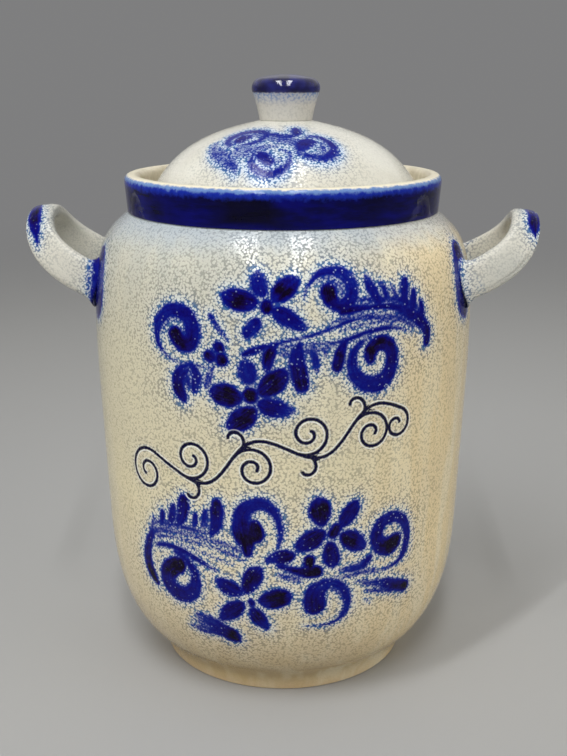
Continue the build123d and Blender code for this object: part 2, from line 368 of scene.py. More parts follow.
upper_feather = [
    [(29, 223.6, 2.2, 1.15), (34, 224.3, 2.5, 1.3), (42, 224.8, 2.0, 1.15), (50, 224.7, 1.9, 1.05),
     (58, 223.6, 2.4, 1.05), (65, 220.8, 3.7, 1.0), (71, 217.6, 4.1, 1.05), (76.2, 213.6, 4.0, 1.05),
     (79.8, 209, 3.4, 1.15), (80.4, 205.5, 3.0, 1.25), (79.8, 203, 2.7, 1.25)],
    [(42.8, 239.2, 2.3, 0.75), (44.4, 235, 3.4, 0.95), (47, 230.6, 3.5, 1.0), (49, 227, 2.6, 0.9)],
    [(50.4, 236.4, 1.8, 0.7), (52.5, 233, 2.7, 0.85), (54, 229, 2.7, 0.85)],
    [(56.6, 234.2, 1.6, 0.75), (58.6, 231, 2.1, 0.8), (60, 227.6, 2.1, 0.8)],
    [(65.8, 235.2, 3.0, 0.95), (65, 232, 3.7, 1.0), (65, 228, 3.2, 0.95), (66, 224, 2.8, 0.95)],
    [(71, 230, 2.5, 0.95), (70.6, 226.6, 3.0, 0.95), (70.5, 222.6, 3.0, 0.95)],
    [(75.6, 224, 2.1, 0.95), (75.8, 220.6, 2.8, 0.95), (76.2, 217, 3.2, 1.0)],
    [(37, 229, 1.8, 0.7), (44, 228.4, 2.2, 0.8), (54, 227.8, 2.4, 0.8), (62, 226.4, 2.4, 0.85),
     (72, 222, 2.6, 0.9)],
    [(24, 218.6, 1.8, 0.6), (33, 220.4, 2.2, 0.7), (44, 220.3, 2.6, 0.72), (54, 219.2, 2.8, 0.72),
     (62, 217.2, 2.6, 0.75), (70, 213, 2.0, 0.75)],
    [(28, 214.2, 1.4, 0.55), (38, 216.4, 1.8, 0.6), (50, 217, 1.8, 0.6), (60, 215.6, 1.6, 0.6)],
    [(-18.8, 203.2, 1.9, 1.0), (-15, 205, 2.4, 1.0), (-9, 207.2, 2.0, 1.0), (-2, 209.2, 1.5, 0.95),
     (5, 211, 1.3, 0.95), (12, 212.4, 1.3, 0.95), (20, 214.8, 1.4, 0.95), (27, 217.2, 1.5, 0.95),
     (34, 219.3, 1.7, 0.9), (42, 220.3, 1.9, 0.8), (50, 219.8, 1.7, 0.75)],
    [(-4, 206.5, 1.6, 0.75), (6, 208.2, 1.5, 0.75), (16, 208.9, 1.4, 0.75), (25, 208.9, 1.6, 0.8),
     (33, 210.3, 1.8, 0.95), (41, 212.4, 1.9, 1.0), (50, 213.8, 1.8, 1.0), (58, 213.4, 1.5, 0.95),
     (65, 211.3, 1.1, 0.8), (69, 209.6, 0.8, 0.7)],
]
lower_flowers = [
    [(-19.4, 76.8, 3.6, 1.1), (-17.4, 81, 5.4, 1.25), (-14.8, 85.6, 5.2, 1.2), (-12.9, 88.4, 3.0, 1.0)],
    [(-10.6, 70.2, 3.4, 1.1), (-7.4, 70.8, 5.4, 1.25), (-3, 71.8, 6.0, 1.4), (0.8, 73, 4.6, 1.3),
     (3, 74, 2.4, 0.9)],
    [(-16.6, 64, 2.8, 1.1), (-14.6, 61, 4.5, 1.3), (-11.8, 57.2, 4.4, 1.1), (-8.8, 53.6, 2.4, 0.9)],
    [(-23.6, 66.4, 3.6, 1.1), (-26.8, 64, 5.2, 1.3), (-30.5, 60.8, 5.1, 1.15), (-34.5, 57.4, 3.2, 0.9)],
    [(-23.2, 74.4, 2.8, 1.0), (-27.5, 75.6, 4.7, 1.2), (-32, 77.4, 4.7, 1.1), (-35.8, 79.8, 2.4, 0.9)],
    [(-17.4, 69.2, 2.2, 1.2), (-16.8, 68.2, 2.2, 1.2)],
    [(20.2, 115.6, 4.0, 1.1), (19.6, 119, 5.9, 1.4), (18.9, 122.8, 5.9, 1.4), (18.5, 125.4, 4.2, 1.0)],
    [(31.8, 112.8, 3.0, 1.05), (34.2, 116.4, 4.9, 1.15), (37, 120.2, 4.8, 1.1), (38.8, 122.8, 3.0, 1.0)],
    [(33, 105.6, 3.6, 1.2), (36, 103.6, 5.4, 1.4), (39.8, 101.2, 5.6, 1.2), (43.2, 98.8, 3.8, 1.0)],
    [(25.2, 100.8, 3.4, 1.2), (25.6, 97.4, 4.9, 1.2), (26.4, 93.4, 5.0, 1.15), (26.9, 90.8, 3.4, 1.0)],
    [(20.2, 108, 3.4, 1.2), (17, 106.4, 5.5, 1.35), (12.8, 103.8, 5.8, 1.2), (9.6, 101.8, 4.0, 1.1)],
    [(26.8, 108, 3.5, 1.5), (28.2, 110.4, 3.3, 1.45)],
]
lower_leaves = [
    [(-50, 55.6, 3.0, 0.65), (-45, 54.2, 4.4, 0.75), (-40, 52, 5.0, 0.9), (-34.5, 48.8, 5.0, 1.2),
     (-29.5, 46, 4.8, 1.45), (-27.8, 45, 4.0, 1.4)],
    [(-56, 47.4, 2.0, 0.6), (-50, 47, 3.4, 0.7), (-44, 46.8, 3.4, 0.8), (-38, 46.5, 2.8, 0.9)],
    [(-55, 52.2, 1.6, 0.5), (-49, 51, 2.4, 0.6), (-43, 50, 2.6, 0.7)],
    [(45, 76.6, 1.8, 0.75), (52, 75.2, 3.0, 0.8), (58, 73.6, 3.8, 0.9), (64, 71.4, 4.0, 1.1),
     (70, 68.9, 4.0, 1.3), (74.8, 67, 3.6, 1.5)],
    [(47, 71.5, 1.6, 0.6), (53, 70.4, 2.2, 0.7), (60, 69, 2.4, 0.8), (66, 67.4, 2.0, 0.9)],
    [(47, 66.2, 1.4, 0.6), (50, 64.6, 1.4, 0.6)],
    [(31, 86.5, 1.8, 0.65), (36, 86.4, 3.0, 0.75), (42, 87, 3.4, 0.85), (46.5, 89.2, 3.2, 0.95),
     (48.6, 91.2, 2.2, 0.95)],
    [(28, 82.6, 1.6, 0.6), (36, 82.4, 2.0, 0.65), (44, 83.2, 2.0, 0.7), (52, 83.2, 1.8, 0.7)],
    [(40, 78.4, 1.6, 0.6), (47, 77.8, 1.8, 0.65)],
    [(-8.5, 93.5, 2.2, 0.85), (-4, 95.5, 3.9, 1.0), (1, 96, 4.4, 1.35), (4.4, 97, 2.8, 1.15)],
    [(-2, 91, 2.2, 0.9), (3, 89.2, 2.3, 1.1), (8, 87.8, 2.7, 1.3), (13, 87, 3.4, 1.45),
     (18, 87.2, 3.7, 1.45)],
    [(13.9, 93.6, 3.4, 1.5), (13.8, 92.6, 3.4, 1.5), (14.2, 90, 2.6, 1.4)],
    [(-2, 85.5, 2.0, 0.65), (4, 84, 2.8, 0.7), (9, 82.6, 2.2, 0.7)],
]
lower_volutes = [
    [(-60, 84, 5.2, 1.5), (-66, 80, 6.0, 1.35), (-68.8, 74.5, 6.0, 1.15), (-65, 68.3, 6.0, 1.1),
     (-58, 66.8, 5.6, 1.1), (-51.6, 70.5, 5.2, 1.05), (-49.4, 77, 4.0, 1.0), (-50.5, 83.5, 3.4, 0.95),
     (-55.5, 88.5, 2.8, 0.9), (-62, 91, 2.2, 0.85)],
    [(-14.5, 108.5, 5.4, 1.5), (-15, 112.6, 4.2, 1.45)],
    [(-18.8, 97.4, 2.8, 1.3), (-18.8, 101.5, 4.0, 1.35), (-20.5, 107.5, 6.2, 1.35), (-21.8, 114, 5.6, 1.15),
     (-20.5, 120, 5.4, 1.0), (-15, 124.6, 4.4, 1.0), (-8.5, 124.6, 4.0, 0.95), (-4, 120, 3.4, 0.9),
     (-1.6, 113.5, 2.8, 0.85), (-1.2, 107, 2.2, 0.8), (-2.4, 101.5, 1.6, 0.7)],
    [(64.5, 97, 4.8, 1.55), (61, 95, 5.6, 1.5), (56.5, 95.8, 5.6, 1.3), (52.8, 99.5, 5.0, 1.15),
     (52.4, 105, 4.6, 1.1), (55.5, 109.6, 4.3, 1.05), (61, 111.2, 4.2, 1.0), (67, 109.6, 3.8, 1.0),
     (71.3, 105, 3.5, 0.95), (73.2, 99, 3.1, 0.95), (73, 93, 3.0, 1.0), (71, 87.5, 2.6, 0.95),
     (66, 83.7, 1.8, 0.9), (59, 82, 1.4, 0.8), (51, 81.6, 1.2, 0.7), (45, 82, 1.0, 0.6)],
    [(17.5, 67.3, 6.5, 1.25), (17.3, 72.3, 6.7, 1.15), (19.5, 77, 5.2, 1.0), (24.5, 79.2, 4.0, 0.9),
     (30, 77.4, 4.2, 0.9), (34.2, 73, 3.9, 0.9), (36, 67, 3.2, 0.85), (35, 61.4, 2.7, 0.85),
     (31.3, 57, 2.0, 0.8), (26, 54.6, 1.5, 0.8), (19, 54, 1.1, 0.7), (11.5, 54.8, 0.9, 0.6)],
]
lower_feather = [
    [(-54.6, 122.6, 3.4, 1.25), (-54.8, 119, 4.3, 1.2), (-55.5, 115, 4.1, 1.1), (-57.5, 110.5, 3.4, 1.0),
     (-60, 107, 2.6, 0.8)],
    [(-61.6, 117.2, 2.3, 1.0), (-62.5, 113.5, 3.0, 1.0), (-63.5, 109.5, 2.9, 0.95),
     (-65.5, 106.5, 2.2, 0.75)],
    [(-69.6, 112.4, 2.2, 0.95), (-70, 109, 2.7, 0.95), (-71, 105.5, 2.4, 0.8)],
    [(-76.5, 107, 1.8, 0.7), (-77.5, 103.5, 2.4, 0.75), (-79.5, 99.5, 2.4, 0.8)],
    [(-34.8, 123.2, 3.4, 1.35), (-35, 119.8, 4.3, 1.3), (-35, 115.5, 4.5, 1.1), (-36, 110.5, 4.0, 1.0),
     (-38.5, 106.5, 2.8, 0.8)],
    [(-41.5, 118, 2.2, 0.85), (-42, 114, 2.9, 0.9), (-43, 110, 2.8, 0.8)],
    [(-47.6, 115, 2.2, 0.85), (-48, 111.5, 2.7, 0.85), (-48.8, 108, 2.4, 0.7)],
    [(-78, 104, 2.0, 0.7), (-70, 106, 2.6, 0.72), (-60, 106.4, 2.4, 0.72), (-50, 106.6, 2.4, 0.7),
     (-42, 106, 2.2, 0.66)],
    [(-79, 98, 2.6, 0.75), (-70, 102, 2.6, 0.72), (-60, 103, 2.4, 0.68), (-50, 103, 2.4, 0.66),
     (-40, 102.4, 2.4, 0.64), (-30, 101, 2.4, 0.64), (-22.5, 98, 2.0, 0.64)],
    [(-74, 97, 2.2, 0.66), (-64, 99.4, 2.0, 0.6), (-52, 99.6, 2.0, 0.55), (-38, 98.4, 2.0, 0.55),
     (-27, 95.6, 2.0, 0.6), (-21, 93, 1.6, 0.6)],
    [(-60, 96.4, 1.4, 0.6), (-48, 95.2, 1.6, 0.55), (-36, 92.5, 1.6, 0.55), (-27, 90, 1.4, 0.5)],
    [(-76, 91.5, 1.9, 0.85), (-69, 93.4, 2.1, 0.9), (-61, 93.5, 2.3, 0.95), (-53, 91.7, 2.5, 0.95),
     (-46, 89, 2.3, 0.9), (-40, 86.8, 1.9, 0.8), (-36, 85.2, 1.4, 0.7)],
    [(-75.5, 100.5, 2.2, 0.85), (-80, 95.5, 3.1, 1.0), (-83, 89, 3.6, 1.1), (-84.2, 82, 3.8, 1.2),
     (-83, 75.5, 3.8, 1.45), (-80.2, 70.8, 3.2, 1.4), (-78, 68.4, 2.4, 1.2)],
]
root_stripes = [
    [(-139, 240.5, 3.5, 1.1), (-135.5, 237, 7.5, 1.25), (-132.5, 231, 11, 1.0), (-132, 225, 12, 0.9),
     (-132.5, 219, 12, 1.15), (-134, 213.5, 9, 1.25), (-136, 209, 4, 1.2)],
    [(125.5, 243.5, 5, 1.25), (123, 240.5, 8, 1.25), (121.5, 235, 11, 1.0), (121, 228, 12, 0.85),
     (122, 220, 11, 1.15), (124, 215.5, 8.5, 1.25), (125.5, 212.5, 4, 1.2)],
    [(-210, 240.5, 3.5, 1.1), (-213, 237, 7, 1.2), (-215, 229, 10, 0.95), (-215, 220, 10, 1.25),
     (-212, 211, 4, 1.3)],
    [(189, 243, 3.5, 1.1), (192, 239, 7, 1.2), (194, 231, 10, 0.95), (194, 222, 10, 1.25),
     (191, 213, 4, 1.3)],
]
wall_strokes = (
    upper_flowers + upper_leaves + upper_volutes + upper_feather
    + lower_flowers + lower_leaves + lower_volutes + lower_feather + root_stripes
)
edge_softness = 1.6
edge_load_share = 0.78
bloom_reach = 2.4
far_bloom_reach = 9.5
far_bloom_share = 0.46
route_steps = 7
comb_step = 7.3


def beside(route, places):
    """The nearest place on a route, for each place: the distance to it less the half width there, the
    distance with its side as sign, the run along the route, and the route's columns. The route's legs are
    straight."""
    leg = np.diff(route[:, :2], axis=0)
    length = np.linalg.norm(leg, axis=1)
    offset = places[:, None] - route[:-1, :2]
    share = np.clip((offset * leg).sum(-1) / length ** 2, 0, 1)
    miss = offset - share[..., None] * leg
    gaps = np.linalg.norm(miss, axis=-1) - between(route[:-1, 2], route[1:, 2], share)
    pick = np.arange(len(places)), gaps.argmin(axis=1)
    nearest, share = pick[1], share[pick]
    sided = (miss[pick] * leg[nearest][:, ::-1] * (1, -1)).sum(-1) / length[nearest]
    along = np.append(0, np.cumsum(length))[nearest] + share * length[nearest]
    return gaps[pick], sided, along, between(route[nearest], route[nearest + 1], share[:, None])


def brushed(strokes, right, up, softness=edge_softness):
    """What strokes leave at places given in mm. Each stroke is a smooth line with a half width, and the gap
    is the distance to its line less that half width. Cobalt is the load times a ramp over the edge, a
    little deeper further in. Bloom is a blend of exp(-gap / reach) for a near and a far reach. Comb is
    (across, along, number of) the stroke that left the most."""
    cobalt, bloom = np.zeros(right.shape), np.zeros(right.shape)
    comb = np.zeros(right.shape + (3,))
    for number, stroke in enumerate(strokes):
        route = smooth_line(stroke, route_steps * len(stroke))
        margin = route[:, 2].max() + 2.5 * far_bloom_reach
        low, high = route[:, :2].min(axis=0) - margin, route[:, :2].max(axis=0) + margin
        near = (right > low[0]) & (right < high[0]) & (up > low[1]) & (up < high[1])
        gap, sided, along, there = beside(route, np.column_stack([right[near], up[near]]))
        half, load = there[:, 2], there[:, 3]
        inner = np.clip(-gap / np.maximum(0.55 * half, 0.4), 0, 1)
        left = load * np.clip(0.5 - gap / (2 * softness), 0, 1) * between(edge_load_share, 1.0, inner)
        most = left > cobalt[near]
        cobalt[near] = np.where(most, left, cobalt[near])
        combed = np.column_stack([sided, along, np.full(len(gap), comb_step * number)])
        comb[near] = np.where(most[:, None], combed, comb[near])
        clear = np.maximum(gap, 0)
        haze = between(np.exp(-clear / bloom_reach), np.exp(-clear / far_bloom_reach), far_bloom_share)
        bloom[near] = np.maximum(bloom[near], np.minimum(load, 1) * haze)
    return cobalt, bloom, comb


# The tendril between the two paintings, cut into the wet clay with a point and rubbed with cobalt: a stem
# that sways up to the right, with a curl in the hollow of each bend. Places are the painter's mm, as for
# the brushwork.
stem_lead = (-72.5, 144.8)
stem_start = (-58.0, 138.0)
stem_end = (64.0, 171.0)
stem_sway = 8.5
stem_bends = 4
stem_points = 160
curl_share = 0.10
leaf_share = 0.30
line_width = 1.6 * mm
line_depth = 0.45 * mm
line_reach = 12.0
line_bloom = 0.6
line_bloom_reach = 1.6
line_far_bloom_reach = 6.0
line_far_bloom_share = 0.3


def swaying(start, end, sway, bends, count):
    """A line that leaves the straight from start to end by sway times the sine of its share times pi times
    bends, to its right first."""
    share = np.linspace(0, 1, count)[:, None]
    run = np.subtract(end, start)
    square = np.array([run[1], -run[0]]) / np.linalg.norm(run)
    return start + share * run + sway * np.sin(np.pi * bends * share) * square


def curl(start, heading, turn, first, last, count=56):
    """A spiral from start: its heading turns evenly through turn, and its radius goes evenly from first to
    last."""
    share = (np.arange(count) + 0.5) / count
    angle = heading + turn * share
    step = between(first, last, share) * abs(turn) / count
    steps = step[:, None] * np.column_stack([np.cos(angle), np.sin(angle)])
    return start + np.vstack([(0, 0), np.cumsum(steps, axis=0)])


def tendril_lines():
    """The stem, a curl that leaves it at the start of each bend, on the bend's hollow side, a short leaf on
    the other side, and a larger curl at its foot."""
    stem = np.vstack([[stem_lead], swaying(stem_start, stem_end, stem_sway, stem_bends, stem_points)])
    heading = np.arctan2(*np.gradient(stem, axis=0).T[::-1])
    lines = [stem, curl(stem[0], np.pi + heading[0], 3.0 * np.pi, 13.0, 2.4)]
    for bend in range(stem_bends):
        inwards = 1 if bend % 2 == 0 else -1
        at = 1 + int((bend + curl_share) / stem_bends * stem_points)
        lines.append(curl(stem[at], heading[at], inwards * 3.0 * np.pi, 11.5, 1.9))
        at = 1 + int((bend + leaf_share) / stem_bends * stem_points)
        lines.append(curl(stem[at], heading[at] - inwards * 0.5, -inwards * 1.1 * np.pi, 6.5, 2.2))
    lines.append(curl(stem[-1], heading[-1], -2.3 * np.pi, 8.5, 1.9))
    return [np.column_stack([line, np.zeros((len(line), 2))]) for line in lines]


def incised(lines, right, up):
    """For places in mm, the distance to the nearest line with its side as sign, and without."""
    sided, gap = np.full(right.shape, line_reach), np.full(right.shape, line_reach)
    for line in lines:
        low, high = line[:, :2].min(axis=0) - line_reach, line[:, :2].max(axis=0) + line_reach
        near = (right > low[0]) & (right < high[0]) & (up > low[1]) & (up < high[1])
        distance, with_side, _, _ = beside(line, np.column_stack([right[near], up[near]]))
        nearer = distance < gap[near]
        gap[near] = np.where(nearer, distance, gap[near])
        sided[near] = np.where(nearer, with_side, sided[near])
    return sided, gap


# The pot's mesh: its outline turned about the axis and raised a little where the cobalt lies, with what the
# brush and the point left there written as attributes
paint_relief = 0.12 * mm
unpainted_weight = 0.5
inside_weight = 0.3


def painters_place(angle, height):
    """Where a place on the wall lies for the painter, in mm: round the belly from the painting's middle, and
    up."""
    return (angle - paint_turn) * belly_radius / mm, height / mm


def wall_radius(height):
    """Radius of the pot's outside at a height, before any brushwork."""
    return np.interp(height, side[:, 1], side[:, 0])


angle_grid, height_grid = np.meshgrid(column_angle, outline[:, 1])
pot_right, pot_up = painters_place(angle_grid, height_grid)
on_wall = (finish_of_row == 0)[:, None] & (pot_up > foot_height / mm)
wall_up = np.where(on_wall, pot_up, -1000)
cobalt, bloom, comb = brushed(wall_strokes, pot_right, wall_up)
line_sided, line_gap = incised(tendril_lines(), pot_right, wall_up)
line_haze = between(
    np.exp(-line_gap / line_bloom_reach), np.exp(-line_gap / line_far_bloom_reach), line_far_bloom_share
)
bloom = np.maximum(bloom, line_bloom * line_haze * (line_gap < line_reach))
pot_grid = turned(outline, column_angle)
outward = np.stack([np.sin(angle_grid), -np.cos(angle_grid), np.zeros_like(angle_grid)], axis=-1)
pot_grid += outward * (paint_relief * np.clip(cobalt, 0, 1))[..., None]
in_front = (column_angle > front_edge[0]) & (column_angle < front_edge[1])
column_weight = np.where(in_front, 1.0, unpainted_weight)
row_weight = np.where(finish_of_row[1:] == 2, inside_weight, 1.0)
pot = piece_from_grid("pot", pot_grid, finish_of_row, column_weight, row_weight)
write_attribute(pot, "cobalt", cobalt)
write_attribute(pot, "bloom", bloom)
write_attribute(pot, "comb", comb)
write_attribute(pot, "line_sided", line_sided, line_reach)
write_attribute(pot, "line_gap", line_gap, line_reach)


def new_group(name, inputs, outputs):
    """An empty shader node group with these named sockets: F is a number, V a vector and C a colour."""
    kinds = {"F": "NodeSocketFloat", "V": "NodeSocketVector", "C": "NodeSocketColor"}
    group = bpy.data.node_groups.new(name, "ShaderNodeTree")
    for words, sockets in (("INPUT", inputs), ("OUTPUT", outputs)):
        for label, kind in sockets.items():
            group.interface.new_socket(label, in_out=words, socket_type=kinds[kind])
    return group, group.nodes.new("NodeGroupInput").outputs, group.nodes.new("NodeGroupOutput").inputs


def add_node(tree, kind, inputs=(), **settings):
    """Adds a node, with its settings, and gives its inputs numbers, colours or other nodes' outputs."""
    node = tree.nodes.new(kind)
    for name, value in settings.items():
        setattr(node, name, value)
    for name, value in dict(inputs).items():
        if isinstance(value, bpy.types.NodeSocket):
            tree.links.new(value, node.inputs[name])
        else:
            node.inputs[name].default_value = value
    return node


def figure(tree, operation, a, b=0.0, c=0.0):
    """The output of a Math node."""
    return add_node(tree, "ShaderNodeMath", {0: a, 1: b, 2: c}, operation=operation).outputs[0]


def fade(tree, value, low, high, to_low=0.0, to_high=1.0, smooth=True):
    """A value eased from one number to another while the input goes from low to high."""
    return add_node(
        tree,
        "ShaderNodeMapRange",
        {"Value": value, "From Min": low, "From Max": high, "To Min": to_low, "To Max": to_high},
        interpolation_type="SMOOTHSTEP" if smooth else "LINEAR",
    ).outputs["Result"]


def blended(tree, share, first, second, kind="MIX"):
    """Two colours mixed by a share."""
    return add_node(
        tree, "ShaderNodeMix", {"Factor": share, 6: first, 7: second}, data_type="RGBA", blend_type=kind
    ).outputs[2]


def noise(tree, place, scale, detail=2.0, roughness=0.5):
    """A noise texture's value, about 0.5, with features about 1 / scale of a metre across."""
    return add_node(
        tree,
        "ShaderNodeTexNoise",
        {"Vector": place, "Scale": scale, "Detail": detail, "Roughness": roughness},
    ).outputs["Fac"]


def vector_math(tree, operation, inputs):
    """The output of a Vector Math node."""
    return add_node(tree, "ShaderNodeVectorMath", inputs, operation=operation).outputs[0]


def object_place(tree):
    """Places in the object's own coordinates, which are metres."""
    return add_node(tree, "ShaderNodeTexCoord").outputs["Object"]


def axes(tree, place):
    """The x, y and z of a place."""
    return add_node(tree, "ShaderNodeSeparateXYZ", {0: place}).outputs


def from_axis(tree, x, y):
    """Distance from the upright axis: the root of x squared plus y squared."""
    return figure(tree, "SQRT", figure(tree, "MULTIPLY_ADD", x, x, figure(tree, "MULTIPLY", y, y)))


def attribute(tree, name, output="Fac"):
    """What was written on the mesh under a name."""
    return add_node(tree, "ShaderNodeAttribute", attribute_name=name).outputs[output]


def patchy(tree, share, first, second):
    """Two shades of one clay or glaze in soft patches, from a noise."""
    return blended(tree, fade(tree, share, 0.35, 0.65), first, second)


def ramped(tree, share, colours):
    """The colour that a ramp through these (share, colour) pairs has at a share."""
    ramp = add_node(tree, "ShaderNodeValToRGB", {"Fac": share})
    elements = ramp.color_ramp.elements
    elements.remove(elements[1])
    elements[0].position, elements[0].color = colours[0]
    for place, colour in colours[1:]:
        elements.new(place).color = colour
    return ramp.outputs["Color"]


def raise_surface(tree, shader, rise, depth):
    """Bumps the shader's normal by a height, which is in units of the depth given."""
    bump = add_node(tree, "ShaderNodeBump", {"Height": rise, "Distance": depth, "Strength": 1.0})
    tree.links.new(bump.outputs["Normal"], shader.inputs["Normal"])


def orange_peel():
    """Salt glaze beads up into dots and short worms: height falls from 1 at the middle of a bead as the
    square of the distance to the nearest of scattered points, after a little stirring, at the given size
    from bead to bead. Broad is a slow noise for colour, and drift one of middling size."""
    group, given, out = new_group(
        "orange_peel", {"Place": "V", "Size": "F"}, {"Height": "F", "Broad": "F", "Drift": "F"}
    )
    beads_per_metre = figure(group, "DIVIDE", 1.0, given["Size"])
    grid = vector_math(group, "SCALE", {0: given["Place"], "Scale": beads_per_metre})
    stir = add_node(group, "ShaderNodeTexNoise", {"Vector": grid, "Scale": 0.9, "Detail": 1.0})
    stirred = vector_math(group, "MULTIPLY_ADD", {0: stir.outputs["Color"], 1: (0.8, 0.8, 0.8), 2: grid})
    nearest = add_node(group, "ShaderNodeTexVoronoi", {"Vector": stirred, "Scale": 1.0}).outputs["Distance"]
    share = figure(group, "DIVIDE", nearest, 0.80)
    squared = figure(group, "MULTIPLY", share, share)
    bead = add_node(group, "ShaderNodeMath", {0: 1.0, 1: squared}, operation="SUBTRACT", use_clamp=True)
    group.links.new(bead.outputs[0], out["Height"])
    group.links.new(noise(group, given["Place"], 24.0, 3.0, 0.55), out["Broad"])
    group.links.new(noise(group, given["Place"], 110.0, 2.0, 0.5), out["Drift"])
    return group


def cobalt_in_glaze():
    """Cobalt under salt glaze: it lies thinner over the peel's beads and at a stroke's edge, where the beads
    break it up, and goes from steel blue through cobalt to a purple black as the load grows. Streaks follow
    the brush, salt leaves pale pinholes, and around the strokes the vapour tints the valleys."""
    group, given, out = new_group(
        "cobalt_in_glaze",
        {"Clay": "C", "Cobalt": "F", "Bloom": "F", "Comb": "V", "Peel": "F", "Place": "V"},
        {"Color": "C", "Cover": "F"},
    )
    stretch = vector_math(group, "MULTIPLY", {0: given["Comb"], 1: (0.9, 0.06, 1.0)})
    streaks = fade(group, noise(group, stretch, 1.0, 3.0, 0.6), 0.3, 0.7, -0.10, 0.08)
    clouds = fade(group, noise(group, given["Place"], 210.0, 2.0, 0.5), 0.3, 0.7, -0.10, 0.10)
    uneven = figure(group, "ADD", figure(group, "ADD", streaks, clouds), 1.0)
    amount = figure(group, "MULTIPLY", given["Cobalt"], uneven)
    bead = fade(group, given["Peel"], 0.35, 0.85)
    in_valley = fade(group, amount, 0.04, 0.40)
    on_bead = fade(group, amount, 0.24, 0.80)
    cover = figure(group, "MULTIPLY_ADD", bead, figure(group, "SUBTRACT", on_bead, in_valley), in_valley)
    depth = figure(group, "MULTIPLY_ADD", bead, -0.05, figure(group, "DIVIDE", amount, 1.55))
    slip = ramped(group, depth, (
        (0.12, (0.085, 0.195, 0.340, 1)),
        (0.24, (0.026, 0.085, 0.275, 1)),
        (0.38, (0.008, 0.028, 0.255, 1)),
        (0.54, (0.003, 0.006, 0.190, 1)),
        (0.67, (0.003, 0.002, 0.140, 1)),
        (0.76, (0.004, 0.0010, 0.088, 1)),
        (0.84, (0.004, 0.0006, 0.038, 1)),
        (0.92, (0.003, 0.0005, 0.012, 1)),
    ))
    valley = fade(group, given["Peel"], 0.22, 0.70, 1.0, 0.04)
    nearness = fade(group, given["Bloom"], 0.12, 0.65)
    hue = blended(group, nearness, (0.090, 0.112, 0.125, 1), (0.042, 0.120, 0.275, 1))
    haze = fade(group, given["Bloom"], 0.0, 0.6, 0.0, 0.92, smooth=False)
    stained = blended(group, figure(group, "MULTIPLY", valley, haze), given["Clay"], hue)
    salt = blended(
        group, fade(group, given["Bloom"], 0.12, 0.6), (0.80, 0.78, 0.70, 1), (0.72, 0.79, 0.83, 1)
    )
    lit = figure(group, "MULTIPLY", given["Bloom"], fade(group, given["Peel"], 0.5, 0.85, 0.0, 0.8))
    stained = blended(group, lit, stained, salt)
    dots = add_node(group, "ShaderNodeTexVoronoi", {"Vector": given["Place"], "Scale": 400.0})
    pinholes = fade(group, dots.outputs["Distance"], 0.10, 0.21, 0.6, 0.0)
    pinholes = figure(group, "MULTIPLY", pinholes, fade(group, amount, 0.95, 1.3, 1.0, 0.15))
    crowds = fade(group, noise(group, given["Place"], 75.0, 1.0), 0.32, 0.54)
    slip = blended(group, figure(group, "MULTIPLY", pinholes, crowds), slip, (0.40, 0.50, 0.66, 1))
    group.links.new(blended(group, cover, stained, slip), out["Color"])
    group.links.new(cover, out["Cover"])
    return group


peel_group = orange_peel()
cobalt_group = cobalt_in_glaze()


def new_material(name, piece):
    """A material with a Principled BSDF, added to a piece; returns its tree and that shader."""
    material = bpy.data.materials.new(name)
    material.use_nodes = True
    piece.data.materials.append(material)
    tree = material.node_tree
    return tree, tree.nodes["Principled BSDF"]


def place_group(tree, group, inputs):
    """Places a node group in a material and wires its inputs; returns its outputs."""
    return add_node(tree, "ShaderNodeGroup", inputs, node_tree=group).outputs


def with_incised_line(tree, colour, rise, depth):
    """A colour and a height, with the incised line put in: a dark groove between raised burrs, painted pale
    as a highlight that is stronger on the lower burr. The height is in units of the depth given."""
    sided, gap = attribute(tree, "line_sided"), attribute(tree, "line_gap")
    off = figure(tree, "ABSOLUTE", sided)
    half = line_width / mm / 2
    groove = fade(tree, off, half * 0.7, half * 1.35, 1.0, 0.0)
    groove = figure(tree, "MULTIPLY", groove, fade(tree, gap, 1.0, 1.5, 1.0, 0.0))
    from_burr = figure(tree, "ABSOLUTE", figure(tree, "SUBTRACT", off, half + 0.6))
    burr_highlight = fade(tree, from_burr, 0.1, 0.5, 1.0, 0.0)
    burr_highlight = figure(tree, "MULTIPLY", burr_highlight, fade(tree, gap, 1.6, 2.2, 1.0, 0.0))
    # Painted highlight: the burrs are painted pale, more on the lower side of the line
    lower = fade(tree, sided, -0.4, 0.4, 0.9, 0.45)
    colour = blended(tree, figure(tree, "MULTIPLY", burr_highlight, lower), colour, (0.86, 0.86, 0.82, 1))
    colour = blended(tree, groove, colour, (0.004, 0.004, 0.030, 1))
    rise = figure(tree, "MULTIPLY_ADD", groove, -line_depth / depth, rise)
    return colour, figure(tree, "MULTIPLY_ADD", burr_highlight, 1.2, rise)


